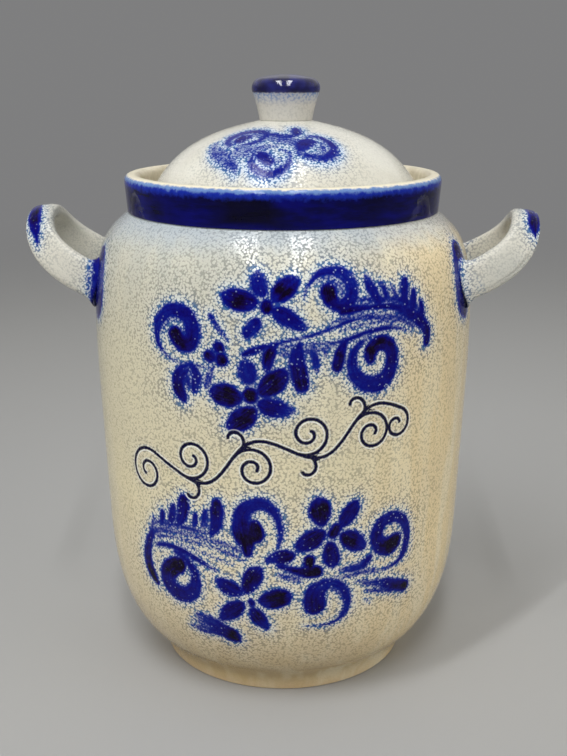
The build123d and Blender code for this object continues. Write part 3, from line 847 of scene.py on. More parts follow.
def painted_glaze(name, piece, clay_of, peel_size, peel_depth, gloss, cut=False):
    """Salt glaze with brushed cobalt: the piece's attributes cobalt, bloom and comb say where the brush
    went. On a cut piece, line_sided and line_gap say how far off the nearest incised line is. The tops of
    the beads have a coat that shines as much as gloss says, and less over the cobalt."""
    tree, shader = new_material(name, piece)
    place = object_place(tree)
    peel = place_group(tree, peel_group, {"Place": place, "Size": peel_size})
    paint = place_group(tree, cobalt_group, {
        "Clay": clay_of(tree, place, peel),
        "Cobalt": attribute(tree, "cobalt"),
        "Bloom": attribute(tree, "bloom"),
        "Comb": attribute(tree, "comb", "Vector"),
        "Peel": peel["Height"],
        "Place": place,
    })
    colour, cover = paint["Color"], paint["Cover"]
    rise = figure(tree, "MULTIPLY", peel["Height"], fade(tree, cover, 0, 1, 1.0, 0.45))
    rise = figure(tree, "MULTIPLY_ADD", peel["Drift"], 0.9, rise)
    if cut:
        colour, rise = with_incised_line(tree, colour, rise, peel_depth)
    tree.links.new(colour, shader.inputs["Base Color"])
    tree.links.new(fade(tree, cover, 0, 1, 0.10, 0.07), shader.inputs["Roughness"])
    shader.inputs["Specular IOR Level"].default_value = 0.10
    coat = fade(tree, peel["Height"], 0.6, 0.9, 0.0, gloss)
    coat = figure(tree, "MULTIPLY", coat, fade(tree, cover, 0, 1, 1.0, 0.3))
    tree.links.new(coat, shader.inputs["Coat Weight"])
    shader.inputs["Coat Roughness"].default_value = 0.11
    raise_surface(tree, shader, rise, peel_depth)


wall_peel_size = 1.22 * mm
wall_peel_depth = 0.095 * mm
wall_gloss = 0.9
clay_ramp_height = 260.0 * mm


def wall_clay(tree, place, peel):
    """Grey-white at the shoulder, warm beige at the belly and tan at the foot. Towards the right it turns a
    lighter, warmer tan, partly the clay's own and partly painted light from that side. The peel's valleys are
    darker and its beads lighter, which is painted shade, and vapour off the collar tints what is under it."""
    x, _, z = axes(tree, place)
    clay = ramped(tree, figure(tree, "DIVIDE", z, clay_ramp_height), (
        (0.0, (0.62, 0.46, 0.26, 1)),
        (0.02, (0.54, 0.40, 0.21, 1)),
        (0.04, (0.43, 0.32, 0.16, 1)),
        (0.07, (0.50, 0.38, 0.20, 1)),
        (0.12, (0.59, 0.47, 0.28, 1)),
        (0.20, (0.68, 0.57, 0.36, 1)),
        (0.45, (0.71, 0.63, 0.41, 1)),
        (0.78, (0.62, 0.58, 0.43, 1)),
        (0.96, (0.47, 0.48, 0.43, 1)),
    ))
    # Lighter, warmer tan towards the right: partly the clay's own, partly painted light from that side
    right = fade(tree, figure(tree, "MULTIPLY_ADD", peel["Broad"], 0.06, x), 0.06, 0.12)
    clay = blended(tree, figure(tree, "MULTIPLY", right, 0.8), clay, (0.79, 0.63, 0.35, 1))
    drawn_out = vector_math(tree, "MULTIPLY", {0: place, 1: (1, 1, 0.14)})
    runs = fade(tree, noise(tree, drawn_out, 95.0, 2.0, 0.5), 0.42, 0.68)
    runs = figure(tree, "MULTIPLY", runs, fade(tree, x, -0.02, 0.05, 0.15, 0.5))
    clay = blended(tree, runs, clay, (0.80, 0.74, 0.54, 1))
    clay = blended(tree, fade(tree, peel["Broad"], 0.35, 0.65, 0.0, 0.14), clay, (0.54, 0.50, 0.40, 1))
    uneven_height = figure(tree, "MULTIPLY_ADD", peel["Drift"], 6 * mm, z)
    vapour = fade(tree, uneven_height, neck_height - 12 * mm, neck_height + 2 * mm)
    clay = blended(tree, figure(tree, "MULTIPLY", vapour, 0.55), clay, (0.34, 0.42, 0.52, 1))
    # Painted shade: the colour is darker in the peel's valleys and lighter on its beads, less so on the
    # smooth foot
    bare_foot = fade(tree, z, 9 * mm, 22 * mm, 0.75, 0.0)
    peel_shade_share = figure(tree, "MAXIMUM", fade(tree, peel["Height"], 0.15, 0.7), bare_foot)
    shade = blended(tree, peel_shade_share, (0.76, 0.76, 0.76, 1), (1.08, 1.08, 1.08, 1))
    return blended(tree, 1.0, clay, shade, "MULTIPLY")


painted_glaze("salt_glazed_wall", pot, wall_clay, wall_peel_size, wall_peel_depth, wall_gloss, cut=True)

# Collar: dipped in cobalt outside, which thins to pale blue where it reaches the lip. Inside it is bare
# stoneware.
bare_radius = 80.5 * mm
dipped_radius = 82.5 * mm
tree, shader = new_material("collar_glaze", pot)
place = object_place(tree)
x, y, z = axes(tree, place)
radius = from_axis(tree, x, y)
inwards = figure(tree, "SUBTRACT", rim_radius, radius)
over_lip = figure(tree, "ADD", figure(tree, "SUBTRACT", z, pot_top.z), inwards)
ragged = figure(tree, "MULTIPLY_ADD", noise(tree, place, 300.0, 3.0, 0.6), -5.0 * mm, over_lip)
drips = noise(tree, place, 34.0, 3.0, 0.6)
from_front = figure(tree, "ADD", figure(tree, "MULTIPLY_ADD", drips, 30 * mm, x), -6 * mm)
thin = fade(tree, figure(tree, "ABSOLUTE", from_front), 8 * mm, 22 * mm, 0.12, 1.0)
thin = figure(tree, "MULTIPLY", thin, fade(tree, drips, 0.30, 0.62, 0.35, 1.0))
thin = figure(tree, "MAXIMUM", thin, fade(tree, z, neck_height + 0.5 * mm, neck_height + 5 * mm, 0.8, 0.0))
wiped = vector_math(tree, "MULTIPLY", {0: place, 1: (0.3, 0.3, 1.6)})
wipes = fade(tree, noise(tree, wiped, 150.0, 3.0, 0.6), 0.3, 0.65, 0.25, 1.0)
lighter = figure(tree, "MULTIPLY", thin, wipes)
deep = blended(tree, lighter, (0.0008, 0.0005, 0.008, 1), (0.0015, 0.0016, 0.120, 1))
bright = blended(tree, fade(tree, ragged, -8.5 * mm, -5.5 * mm), deep, (0.008, 0.022, 0.30, 1))
fringe = blended(tree, fade(tree, ragged, -5.5 * mm, -3.2 * mm), bright, (0.13, 0.23, 0.47, 1))
lip = blended(tree, fade(tree, ragged, -2.6 * mm, -0.2 * mm), fringe, (0.78, 0.72, 0.55, 1))
spots = fade(tree, noise(tree, place, 120.0, 3.0, 0.6), 0.3, 0.7)
stoneware = blended(tree, spots, (0.70, 0.64, 0.50, 1), (0.56, 0.50, 0.37, 1))
collar_colour = blended(tree, fade(tree, radius, bare_radius, dipped_radius), stoneware, lip)
tree.links.new(collar_colour, shader.inputs["Base Color"])
tree.links.new(fade(tree, ragged, -4 * mm, 0, 0.06, 0.25), shader.inputs["Roughness"])
shader.inputs["Specular IOR Level"].default_value = 0.16
waves = noise(tree, place, 90.0, 2.0, 0.5)
ripple = figure(tree, "MULTIPLY_ADD", noise(tree, place, 420.0, 2.0, 0.5), 0.25, waves)
raise_surface(tree, shader, ripple, 0.25 * mm)

# Inside: the same salt glaze, thinner and browner, smooth to clean
smooth_peel_size = 2.4 * mm
tree, shader = new_material("inside_glaze", pot)
peel = place_group(tree, peel_group, {"Place": object_place(tree), "Size": smooth_peel_size})
liner_colour = patchy(tree, peel["Broad"], (0.50, 0.42, 0.28, 1), (0.38, 0.30, 0.18, 1))
tree.links.new(liner_colour, shader.inputs["Base Color"])
shader.inputs["Roughness"].default_value = 0.3

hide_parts("pot_body")
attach(pot, "pot")

# The handles: a pulled strap of clay, bent to a loop and luted to the shoulder at both ends, then brushed
# with cobalt over the roots and on the tip. The two were made by hand, so they differ in reach and rise.
handle_drop_left = 55.9 * mm
handle_drop_right = 52.6 * mm
handle_reach_left = 30.3 * mm
handle_reach_right = 27.1 * mm
handle_rise_left = 32.3 * mm
handle_rise_right = 29.5 * mm
handle_half_spread = 31.0 * mm
handle_root_depth = 7.0 * mm
handle_root_angle = np.radians(23)
handle_tip_angle = np.radians(84)
strap_width = 19.2 * mm
strap_thickness = 8.0 * mm
rise_bend_shares = (0.48, 0.33)
plan_shares = ((0.0, 1.0), (0.55, 0.9), (1.0, 0.68), (1.0, 0.0))
strap_width_shares = (0.98, 1.0, 0.77)
strap_squareness = 0.66
root_flare = 3.8 * mm
root_flare_reach = 8.5 * mm
root_toe = 2.1
crease_turn = 2.30
crease_half_turn = 0.11
crease_depth = 0.55 * mm
handle_peel_size = 1.15 * mm
handle_peel_depth = 0.085 * mm
handle_gloss = 0.45


def bezier(points, t):
    """Cubic Bezier curve and its unit direction at t: the four points weighted by (1 - t)^3, 3 t (1 - t)^2,
    3 t^2 (1 - t) and t^3."""
    a, b, c, d = np.asarray(points, float)
    t = t[:, None]
    line = (1 - t) ** 3 * a + 3 * t * (1 - t) ** 2 * b + 3 * t ** 2 * (1 - t) * c + t ** 3 * d
    heading = (1 - t) ** 2 * (b - a) + 2 * t * (1 - t) * (c - b) + t ** 2 * (d - c)
    return line, heading / np.linalg.norm(heading, axis=1)[:, None]


def handle_grid(root_height, reach, rise, side_of_pot, creased=0.0, along_count=150, round_count=64):
    """Surface of a handle. Its middle line bends up a side view curve while it goes out and back on a flat
    plan, and square to it stands a superellipse, as wide as the strap and as thick. It spreads along the wall
    with the cube of its nearness to the wall, most at its lower edge, like clay smoothed on there. A creased
    strap has a fold pressed in along it, a bell curve across, near its lower edge. Also gives the place along
    the loop from its tip and round the strap from its top edge, both in mm, and the metres to the wall."""
    out, up = np.cos(handle_root_angle), np.sin(handle_root_angle)
    root = np.array([belly_radius - handle_root_depth, root_height - handle_root_depth * up])
    tip = np.array([belly_radius + reach, root_height + rise])
    chord = np.linalg.norm(tip - root)
    leaving = chord * rise_bend_shares[0] * np.array([out, up])
    arriving = chord * rise_bend_shares[1] * np.array([np.cos(handle_tip_angle), np.sin(handle_tip_angle)])
    climb, slope = bezier((root, root + leaving, tip - arriving, tip), np.linspace(0, 1, 400))
    climbed = np.append(0, np.cumsum(np.linalg.norm(np.diff(climb, axis=0), axis=1)))
    length = climbed[-1]
    plan = [(share * length, -half * handle_half_spread) for share, half in plan_shares]
    limb, heading = bezier(plan, np.linspace(0, 1, along_count // 2 + 1))
    limb = np.vstack([limb, limb[-2::-1] * (1, -1)])
    heading = np.vstack([heading, heading[-2::-1] * (-1, 1)])
    share = np.clip(limb[:, 0] / length, 0, 1)
    middle = np.stack([np.interp(limb[:, 0], climbed, climb[:, k]) for k in (0, 1)], axis=1)
    lean = np.stack([np.interp(limb[:, 0], climbed, slope[:, k]) for k in (0, 1)], axis=1)
    root_share, middle_share, tip_share = strap_width_shares
    swell = root_share * (1 - share) * (1 - 2 * share) + 4 * middle_share * share * (1 - share)
    half_width = strap_width / 2 * (swell + tip_share * share * (2 * share - 1))
    centre = np.stack([middle[:, 0], limb[:, 1], middle[:, 1]], axis=1)
    broad = np.stack([-lean[:, 1], 0 * share, lean[:, 0]], axis=1)
    run = np.stack([lean[:, 0] * heading[:, 0], heading[:, 1], lean[:, 1] * heading[:, 0]], axis=1)
    thick = np.cross(run, broad)
    turn = np.linspace(0, 2 * np.pi, round_count, endpoint=False)
    wide = np.sign(np.cos(turn)) * np.abs(np.cos(turn)) ** strap_squareness
    deep = np.sign(np.sin(turn)) * np.abs(np.sin(turn)) ** strap_squareness
    offset = broad[:, None] * (half_width[:, None] * wide)[..., None]
    offset = offset + thick[:, None] * (strap_thickness / 2 * deep)[None, :, None]
    grid = centre[:, None] + offset
    clear = np.hypot(grid[..., 0], grid[..., 1]) - wall_radius(grid[..., 2])
    near_wall = np.clip(1 - clear / root_flare_reach, 0, 1.1)
    spread = root_flare * near_wall ** 3 * between(1.0, root_toe, np.clip(-wide, 0, 1))
    aside = offset / np.linalg.norm(offset, axis=-1)[..., None]
    out_of_pot = grid * (1, 1, 0) / np.linalg.norm(grid * (1, 1, 0), axis=-1)[..., None]
    along_wall = aside - (aside * out_of_pot).sum(-1)[..., None] * out_of_pot
    along = between(0.04, 0.96, np.linspace(0, 1, len(grid)))
    fold = creased * crease_depth * np.sin(np.pi * along)[:, None] ** 0.5
    fold = fold * np.exp(-((turn - crease_turn) / crease_half_turn) ** 2)
    grid = grid + along_wall * spread[..., None] - aside * fold[..., None]
    travelled = np.append(0, np.cumsum(np.linalg.norm(np.diff(centre, axis=0), axis=1)))
    from_tip = np.broadcast_to((travelled - travelled[-1] / 2)[:, None], clear.shape) / mm
    girth = np.append(0, np.cumsum(np.linalg.norm(np.diff(grid, axis=1), axis=-1).mean(axis=0))) / mm
    round_it = np.broadcast_to(girth, clear.shape)
    if side_of_pot < 0:
        grid = (grid * (-1, 1, 1))[:, ::-1]
        from_tip, round_it, clear = from_tip[:, ::-1], round_it[:, ::-1], clear[:, ::-1]
    return grid, from_tip, round_it, clear


def handle_clay(tree, place, peel):
    """Grey-white over the loop, with painted shade, a darker grey, in the valleys of its finer peel."""
    pale = patchy(tree, peel["Broad"], (0.64, 0.62, 0.54, 1), (0.52, 0.52, 0.47, 1))
    # Painted shade: a darker grey in the valleys of the peel
    return blended(tree, fade(tree, peel["Height"], 0.0, 0.6, 0.16, 0.0), pale, (0.30, 0.31, 0.31, 1))


# Strokes over the tips, in mm: (along the loop from its tip, round the strap from its top edge, half width,
# load), and over the roots, in mm: (out from the wall, up from the table, half width, load)
tip_strokes_left = [
    [(-1, 15.5, 3.0, 1.0), (-8, 14.6, 4.4, 1.2), (-14, 13.4, 4.8, 1.25), (-20, 12.6, 4.0, 1.1),
     (-25, 12.8, 2.6, 0.9), (-29.5, 14, 1.0, 0.8)],
    [(-5, 17, 2.0, 1.2), (-12, 15.5, 1.8, 1.3), (-18, 14.5, 1.2, 1.2)],
]
tip_strokes_right = [
    [(1.5, 13, 2.6, 0.9), (-3, 15.2, 4.4, 1.1), (-8, 16.0, 4.8, 1.2), (-13, 15.6, 4.2, 1.25),
     (-17, 16, 2.8, 1.3), (-20, 17.4, 1.2, 1.1)],
]
root_strokes_left = [
    [(0.2, 246, 1.6, 1.1), (0.6, 239, 2.2, 1.25), (0.8, 231, 2.8, 0.9), (0.8, 223, 2.8, 0.95),
     (0.8, 214, 3.0, 1.1), (0.3, 204, 2.6, 1.15)],
    [(3.8, 236, 1.2, 0.5), (4.6, 227, 1.8, 0.5), (4.4, 217, 1.6, 0.5)],
]
root_strokes_right = [
    [(-0.4, 246, 0.9, 1.0), (-0.3, 230, 1.0, 0.9), (-0.2, 214, 1.1, 1.0), (-0.4, 204, 1.0, 1.0)],
    [(1.6, 241, 1.2, 1.05), (4.6, 241.6, 0.9, 0.9)],
    [(6.5, 231, 2.2, 0.12), (9.5, 222, 3.0, 0.16), (11.0, 216, 2.0, 0.12)],
]
for side_of_pot, node, drop, reach, rise, creased, tip_strokes, root_strokes in (
    (
        -1, "handle_left", handle_drop_left, handle_reach_left, handle_rise_left, 0.0,
        tip_strokes_left, root_strokes_left,
    ),
    (
        1, "handle_right", handle_drop_right, handle_reach_right, handle_rise_right, 1.0,
        tip_strokes_right, root_strokes_right,
    ),
):
    grid, from_tip, round_it, clear = handle_grid(pot_top.z - drop, reach, rise, side_of_pot, creased)
    handle = piece_from_grid(node + "_glazed", grid)
    at_tip = brushed(tip_strokes, from_tip, round_it)
    at_root = brushed(root_strokes, clear / mm, grid[..., 2] / mm)
    rooted = at_root[0] > at_tip[0]
    write_attribute(handle, "cobalt", np.maximum(at_tip[0], at_root[0]))
    write_attribute(handle, "bloom", np.maximum(at_tip[1], at_root[1]))
    write_attribute(handle, "comb", np.where(rooted[..., None], at_root[2], at_tip[2]))
    painted_glaze(node + "_glaze", handle, handle_clay, handle_peel_size, handle_peel_depth, handle_gloss)
    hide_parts(node)
    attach(handle, "pot")

# The lid: thrown upside down and turned, a dome with a flat edge that sits on the ledge and a ring below it
# that drops into the throat. Salt-glazed like the pot, and brushed with volutes on the front of its crown.
lid_side_clearance = 2.0 * mm
lid_seat_clearance = 0.3 * mm
lid_least_gap = 0.4 * mm
lid_edge_thickness = 3.4 * mm
lid_edge_round = 1.4 * mm
lid_wall = 6.0 * mm
lid_rise = 40.3 * mm
ring_clearance = 2.1 * mm
ring_thickness = 5.0 * mm
ring_depth = 7.5 * mm
ring_round = 1.2 * mm
knob_foot_radius = 14.4 * mm
lid_pole_radius = 2.0 * mm
under_crown_clear = 3.0 * mm
under_crown_step = 40
lid_edge_pitch = 3.0 * mm
lid_front_pitch = 0.95 * mm
lid_back_pitch = 4.5 * mm
lid_front = np.radians(52)
lid_peel_size = 1.2 * mm
lid_peel_depth = 0.09 * mm
lid_gloss = 0.9
crown_shares = ((0.38, 0.84), (0.70, 0.57), (0.87, 0.30))
lid_radius = ledge_bore_radius - lid_side_clearance
lid_middle = (lid_side_clearance - lid_least_gap, 0)
lid_seat_height = ledge_height + lid_seat_clearance
lid_edge_height = lid_seat_height + lid_edge_thickness
lid_crown_height = lid_edge_height + lid_rise
ring_radius = throat_radius - ring_clearance
ring_bottom = lid_seat_height - ring_depth

crown_points = [(knob_foot_radius, lid_crown_height)]
for out, up in crown_shares:
    height = between(lid_edge_height, lid_crown_height, up)
    crown_points.append((between(knob_foot_radius, lid_radius, out), height))
crown_points.append((lid_radius, lid_edge_height))
crown = smooth_line(crown_points, 400)
crown_slope = np.gradient(crown, axis=0)
crown_slope /= np.linalg.norm(crown_slope, axis=1)[:, None]
under_crown = (crown + lid_wall * crown_slope[:, ::-1] * (1, -1))[::under_crown_step]
under_crown = under_crown[under_crown[:, 0] < ring_radius - ring_thickness - under_crown_clear][1:]
lid_edge = rounded_line(
    [
        (lid_radius, lid_edge_height),
        (lid_radius, lid_seat_height),
        (ring_radius, lid_seat_height),
        (ring_radius, ring_bottom),
        (ring_radius - ring_thickness, ring_bottom),
        (ring_radius - ring_thickness, lid_edge_height),
    ],
    (lid_edge_round, edge_round, ring_round, ring_round),
)
lid_underside = smooth_line(
    np.vstack([
        (ring_radius - ring_thickness, lid_edge_height),
        under_crown[::-1],
        (lid_pole_radius, lid_crown_height - lid_wall),
    ]),
    26,
)
lid_top = np.array([(lid_pole_radius, lid_crown_height), (knob_foot_radius - edge_round, lid_crown_height)])

# The lid's finishes are 0, the salt glaze, and 1, the underside
lid_outline, lid_finish = joined(
    [
        lid_underside[::-1],
        filled(lid_edge, lid_edge_pitch)[::-1],
        even(crown, lid_front_pitch)[::-1],
        lid_top[::-1],
    ],
    (1, 0, 0, 0),
)

# Volutes on the lid, in mm: (right of the lid's middle, behind it, half width, load of cobalt)
lid_strokes = [
    [(-20, -38, 3.6, 1.35), (-18.5, -36.2, 4.0, 1.4), (-16.5, -35.6, 3.0, 1.2)],
    [(-24.5, -41, 2.0, 0.9), (-26.6, -36, 2.8, 1.0), (-24, -31.6, 3.1, 1.05), (-18, -29, 3.1, 1.1),
     (-11.5, -30, 3.0, 1.05), (-7, -34, 2.8, 1.05), (-8, -39.5, 2.6, 0.95), (-13.5, -43.2, 2.4, 0.85),
     (-20, -43.6, 1.8, 0.7)],
    [(-6, -34.5, 2.4, 0.9), (-1.5, -37, 3.0, 0.95), (3.5, -37.6, 3.0, 0.9), (8, -35.5, 2.4, 0.9)],
    [(-3, -41, 2.6, 0.62), (3, -43, 2.6, 0.62), (8, -45, 2.2, 0.7)],
    [(7.8, -27, 2.4, 1.05), (8.4, -31, 3.3, 1.2), (8, -35, 2.6, 1.0)],
    [(-33.5, -34, 2.2, 0.55), (-33.5, -41, 2.6, 0.62), (-30.5, -47.5, 2.8, 0.7), (-25.5, -52.5, 2.6, 0.75),
     (-21, -57, 2.4, 0.85), (-19.5, -60, 1.6, 0.8)],
    [(-28.5, -43.5, 1.8, 0.5), (-24, -48, 2.4, 0.55), (-17, -52, 2.2, 0.6), (-13, -53, 1.6, 0.6)],
    [(12, -48, 2.8, 1.25), (13, -44.4, 4.2, 1.4), (15.5, -41.4, 4.0, 1.35), (18, -40, 2.4, 1.1)],
    [(13.5, -36, 1.6, 0.75), (19.5, -34, 2.3, 0.9), (25, -36, 2.8, 1.0), (28.3, -41, 3.0, 1.05),
     (27.5, -46.5, 3.0, 1.05), (23, -50.6, 2.8, 1.0), (17, -52.2, 2.4, 0.95), (11.5, -51.6, 1.8, 0.85)],
    [(21.5, -42, 1.6, 0.5), (21, -46, 1.8, 0.5)],
    [(-8, -53.2, 3.0, 1.15), (-5, -55.8, 3.4, 1.3), (-2.6, -57.6, 2.6, 1.25)],
    [(-11.5, -51.5, 1.8, 0.8), (-12.4, -56.5, 2.2, 0.9), (-9.5, -61, 2.4, 0.95), (-4, -63.6, 2.4, 0.95),
     (2.5, -62.5, 2.3, 0.95), (6.8, -58, 2.0, 0.85), (6.5, -52.5, 1.7, 0.75), (2.5, -49.8, 1.3, 0.65)],
    [(-14, -47.5, 2.2, 0.5), (-7, -47.5, 2.4, 0.55), (0, -47, 2.2, 0.55)],
    [(-35, -34, 2.4, 0.5), (-32, -42, 4.0, 0.6), (-27, -50, 4.4, 0.62), (-22, -56, 3.6, 0.6)],
    [(-27, -30, 2.4, 0.6), (-15, -33, 3.4, 0.6), (-4, -38, 4.2, 0.62), (6, -41, 4.0, 0.62),
     (12, -46, 3.6, 0.6)],
    [(-20, -47, 3.8, 0.6), (-12, -49, 3.8, 0.6), (-4, -48, 3.4, 0.5)],
    [(23, -39, 2.6, 0.55), (23, -45, 3.0, 0.55)],
    [(-3, -59, 2.6, 0.42), (2, -57, 2.6, 0.42)],
]
lid_softness = 2.0
lid_load = 0.86
lid_load_power = 0.65

lid_pitch = np.where(np.abs(full_turn) < lid_front, lid_front_pitch, lid_back_pitch)
lid_angles = crowded(lid_pitch, lid_radius)
lid_grid = turned(lid_outline, lid_angles, lid_middle)
on_crown = (lid_outline[:, 1] > lid_edge_height)[:, None] & (lid_finish == 0)[:, None]
lid_right = (lid_grid[..., 0] - lid_middle[0]) / mm
lid_behind = np.where(on_crown, lid_grid[..., 1] / mm, 1000)
lid_cobalt, lid_bloom, lid_comb = brushed(lid_strokes, lid_right, lid_behind, lid_softness)
lid = piece_from_grid("lid", lid_grid, lid_finish)
write_attribute(lid, "cobalt", lid_load * lid_cobalt ** lid_load_power)
write_attribute(lid, "bloom", lid_bloom)
write_attribute(lid, "comb", lid_comb)


def lid_clay(tree, place, peel):
    """Nearly white over the crown, a little darker in the peel's valleys, which is painted shade, and stained
    light blue round the brushwork."""
    pale = patchy(tree, peel["Broad"], (0.69, 0.68, 0.61, 1), (0.61, 0.59, 0.51, 1))
    # Painted shade: a darker grey in the peel's valleys
    peel_shaded = blended(tree, fade(tree, peel["Height"], 0.0, 0.6, 0.16, 0.0), pale, (0.40, 0.40, 0.37, 1))
    stain = fade(tree, attribute(tree, "bloom"), 0.15, 0.9, 0.0, 0.75)
    return blended(tree, stain, peel_shaded, (0.34, 0.50, 0.80, 1))


painted_glaze("lid_glaze", lid, lid_clay, lid_peel_size, lid_peel_depth, lid_gloss)
tree, shader = new_material("lid_underside", lid)
peel = place_group(tree, peel_group, {"Place": object_place(tree), "Size": smooth_peel_size})
under_colour = patchy(tree, peel["Broad"], (0.56, 0.50, 0.37, 1), (0.44, 0.38, 0.26, 1))
tree.links.new(under_colour, shader.inputs["Base Color"])
shader.inputs["Roughness"].default_value = 0.35
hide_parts("lid_shell")
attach(lid, "lid")

# The knob: thrown on the lid, a waist that opens to a domed cap, which was dipped in cobalt. The dip ends
# in a ragged line, and its vapour stains the waist below.
knob_cap_radius = 18.5 * mm
knob_neck_height = 15.7 * mm
knob_cap_height = 8.6 * mm
knob_neck_share = (0.42, 0.52)
knob_crown_share = (0.78, 0.78)
knob_pole_radius = 1.0 * mm
knob_columns = 144
knob_peel_size = 1.3 * mm
knob_peel_depth = 0.07 * mm
dip_below_cap = 1.6 * mm
dip_wander = 1.2 * mm
knob_cap_edge_height = lid_crown_height + knob_neck_height
knob_top_height = knob_cap_edge_height + knob_cap_height


def arc(start, heading, end, count):
    """Circular arc that leaves start along a heading and ends at end: it turns by twice the angle between the
    heading and the chord, and its radius is half the chord over the sine of that angle."""
    start, heading, end = (np.asarray(value, float) for value in (start, heading, end))
    heading = heading / np.linalg.norm(heading)
    square = np.array([-heading[1], heading[0]])
    chord = end - start
    half_turn = np.arctan2(chord @ square, chord @ heading)
    radius = np.linalg.norm(chord) / (2 * np.sin(half_turn))
    turn = np.linspace(0, 2 * half_turn, count)[:, None]
    return start + radius * (np.sin(turn) * heading + (1 - np.cos(turn)) * square), turn[-1, 0]


crown_end = (
    knob_cap_radius * knob_crown_share[0],
    between(knob_cap_edge_height, knob_top_height, knob_crown_share[1]),
)
cap_edge = (knob_cap_radius, knob_cap_edge_height)
cap_top, cap_turn = arc((0, knob_top_height), (1, 0), crown_end, 16)
cap_side, _ = arc(crown_end, (np.cos(cap_turn), np.sin(cap_turn)), cap_edge, 16)
knob_neck = smooth_line(
    [
        (knob_foot_radius, lid_crown_height),
        (
            between(knob_foot_radius, knob_cap_radius, knob_neck_share[0]),
            between(lid_crown_height, knob_cap_edge_height, knob_neck_share[1]),
        ),
        cap_edge,
    ],
    24,
)
knob_line = np.vstack([(knob_pole_radius, lid_crown_height), knob_neck, cap_side[-2::-1], cap_top[-2:0:-1]])
knob_angles = np.linspace(-np.pi, np.pi, knob_columns, endpoint=False)
knob_grid = turned(knob_line, knob_angles, lid_middle)
knob = piece_from_grid("knob", knob_grid)
tree, shader = new_material("knob_glaze", knob)
place = object_place(tree)
peel = place_group(tree, peel_group, {"Place": place, "Size": knob_peel_size})
_, _, z = axes(tree, place)
ragged = noise(tree, place, 600.0, 2.0, 0.6)
dip_line = figure(tree, "MULTIPLY_ADD", ragged, dip_wander, knob_cap_edge_height - dip_below_cap)
above = figure(tree, "SUBTRACT", z, dip_line)
# Painted shade: the waist is darker grey in the peel's valleys
painted_valley_shade = fade(tree, peel["Height"], 0, 0.7, 0.3, 0.0)
neck_clay = blended(tree, painted_valley_shade, (0.58, 0.56, 0.51, 1), (0.30, 0.30, 0.29, 1))
vapour = fade(tree, above, -7 * mm, -0.2 * mm)
vapour = figure(tree, "MULTIPLY", vapour, fade(tree, peel["Height"], 0.2, 0.8, 0.9, 0.3))
stained = blended(tree, vapour, neck_clay, (0.14, 0.23, 0.46, 1))
cap_blue = patchy(tree, peel["Drift"], (0.003, 0.002, 0.040, 1), (0.012, 0.014, 0.13, 1))
dipped = blended(tree, fade(tree, above, -0.3 * mm, 0.5 * mm), stained, cap_blue)
tree.links.new(dipped, shader.inputs["Base Color"])
tree.links.new(fade(tree, above, -0.3 * mm, 0.5 * mm, 0.25, 0.10), shader.inputs["Roughness"])
shader.inputs["Specular IOR Level"].default_value = 0.5
beaded = figure(tree, "MULTIPLY", peel["Height"], fade(tree, above, -0.3 * mm, 0.5 * mm, 0.8, 0.3))
raise_surface(tree, shader, figure(tree, "MULTIPLY_ADD", peel["Drift"], 1.5, beaded), knob_peel_depth)
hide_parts("lid_knob")
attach(knob, "lid")

# Studio: a pale floor that goes over into the grey of the room far off, and a pale sky. Two strips and two
# soft boxes light the pot from in front, and two long tubes hung over it show only in the gloss.
floor_size = 6.0
floor_mesh = bpy.data.meshes.new("floor")
floor_corners = [(x * floor_size, y * floor_size, 0) for x, y in ((-1, -1), (1, -1), (1, 1), (-1, 1))]
floor_mesh.from_pydata(floor_corners, [], [(0, 1, 2, 3)])
floor = bpy.data.objects.new("floor", floor_mesh)
bpy.context.scene.collection.objects.link(floor)
tree, shader = new_material("floor_paper", floor)
room_grey = (0.21, 0.21, 0.212, 1)
x, y, _ = axes(tree, object_place(tree))
far_off = fade(tree, from_axis(tree, x, y), 0.7, 1.95)
tree.links.new(blended(tree, far_off, (0.38, 0.38, 0.376, 1), (0, 0, 0, 1)), shader.inputs["Base Color"])
tree.links.new(blended(tree, far_off, (0, 0, 0, 1), room_grey), shader.inputs["Emission Color"])
shader.inputs["Emission Strength"].default_value = 1.0
shader.inputs["Roughness"].default_value = 0.8
shader.inputs["Specular IOR Level"].default_value = 0.0

world = bpy.data.worlds.new("studio")
world.use_nodes = True
bpy.context.scene.world = world
sky = world.node_tree
background = sky.nodes["Background"]
_, toward, upward = axes(sky, add_node(sky, "ShaderNodeTexCoord").outputs["Generated"])
overhead = blended(sky, fade(sky, toward, -0.4, 0.5), (0.28, 0.28, 0.275, 1), (0.62, 0.615, 0.60, 1))
room = blended(sky, fade(sky, upward, 0.06, 0.36), room_grey, overhead)
sky.links.new(room, background.inputs["Color"])
background.inputs["Strength"].default_value = 1.0


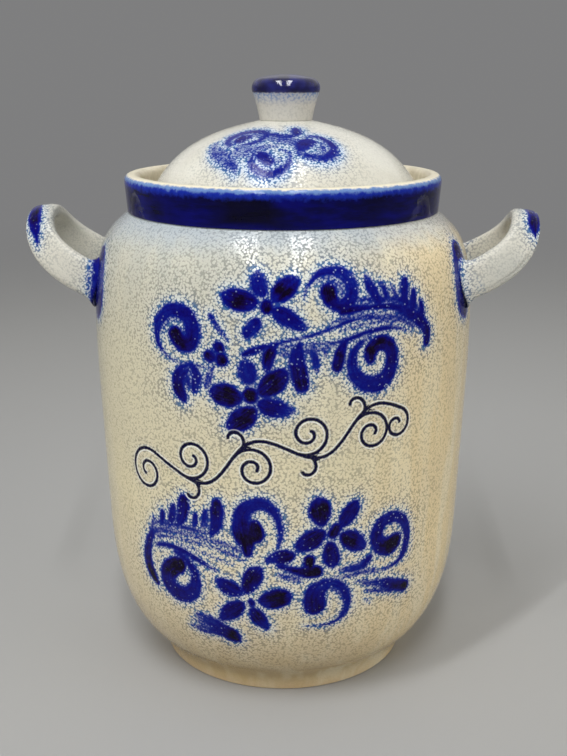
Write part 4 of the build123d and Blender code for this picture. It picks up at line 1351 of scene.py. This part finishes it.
def soft_lamp(name, place, aim, size, power, colour=(1, 1, 1), spread=180, turn=0, lights=True, shines=True):
    """A rectangular lamp that faces a point, turned about the way that it faces, its light kept within the
    spread, both in degrees. It lights surfaces, or shines in the gloss, or both."""
    lamp = bpy.data.lights.new(name, "AREA")
    lamp.shape = "RECTANGLE"
    lamp.size, lamp.size_y = size
    lamp.energy = power
    lamp.color = colour
    lamp.spread = np.radians(spread)
    holder = bpy.data.objects.new(name, lamp)
    holder.location = place
    facing = (Vector(aim) - Vector(place)).to_track_quat("-Z", "Y")
    holder.rotation_euler = (facing @ Quaternion((0, 0, 1), np.radians(turn))).to_euler()
    holder.visible_diffuse, holder.visible_glossy = lights, shines
    bpy.context.scene.collection.objects.link(holder)


strip_size = (0.03, 1.3)
strip_power = 2.6
strip_spread = 70
tube_size = (0.22, 2.3)
tube_power = 26
box_size = (1.6, 1.6)
for name, place in (("left_strip", (-0.55, -0.96, 1.75)), ("right_strip", (0.10, -1.10, 1.75))):
    soft_lamp(name, place, (0, 0, 0.2), strip_size, strip_power, spread=strip_spread, shines=False)
for name, x, y, turn in (("left_tube", -0.36, -1.05, -2), ("right_tube", 0.33, -1.02, 9.4)):
    soft_lamp(name, (x, y, 1.6), (x, y, 0), tube_size, tube_power, turn=turn, lights=False)
soft_lamp("left_softbox", (-1.75, -1.2, 0.6), (0, 0, 0.12), box_size, 12.5, (1.0, 0.985, 0.95), shines=False)
soft_lamp("right_softbox", (1.95, -0.75, 0.6), (0, 0, 0.12), box_size, 16.5, (1.0, 0.96, 0.90), shines=False)

# The camera: a little right of the middle, looking down on the pot from about 60 cm
focal_pixels = 1100
picture_pixels = 756
camera_down = 0.2784
camera_turn = 0.0975
camera_data = bpy.data.cameras.new("view")
camera_data.sensor_width = 36.0
camera_data.lens = focal_pixels / picture_pixels * camera_data.sensor_width
camera = bpy.data.objects.new("view", camera_data)
camera.location = Vector((60.4, -614.6, 338.3)) * mm
camera.rotation_euler = (np.pi / 2 - camera_down, 0, camera_turn)
bpy.context.scene.collection.objects.link(camera)
bpy.context.scene.camera = camera
bpy.context.scene.view_settings.view_transform = "Standard"
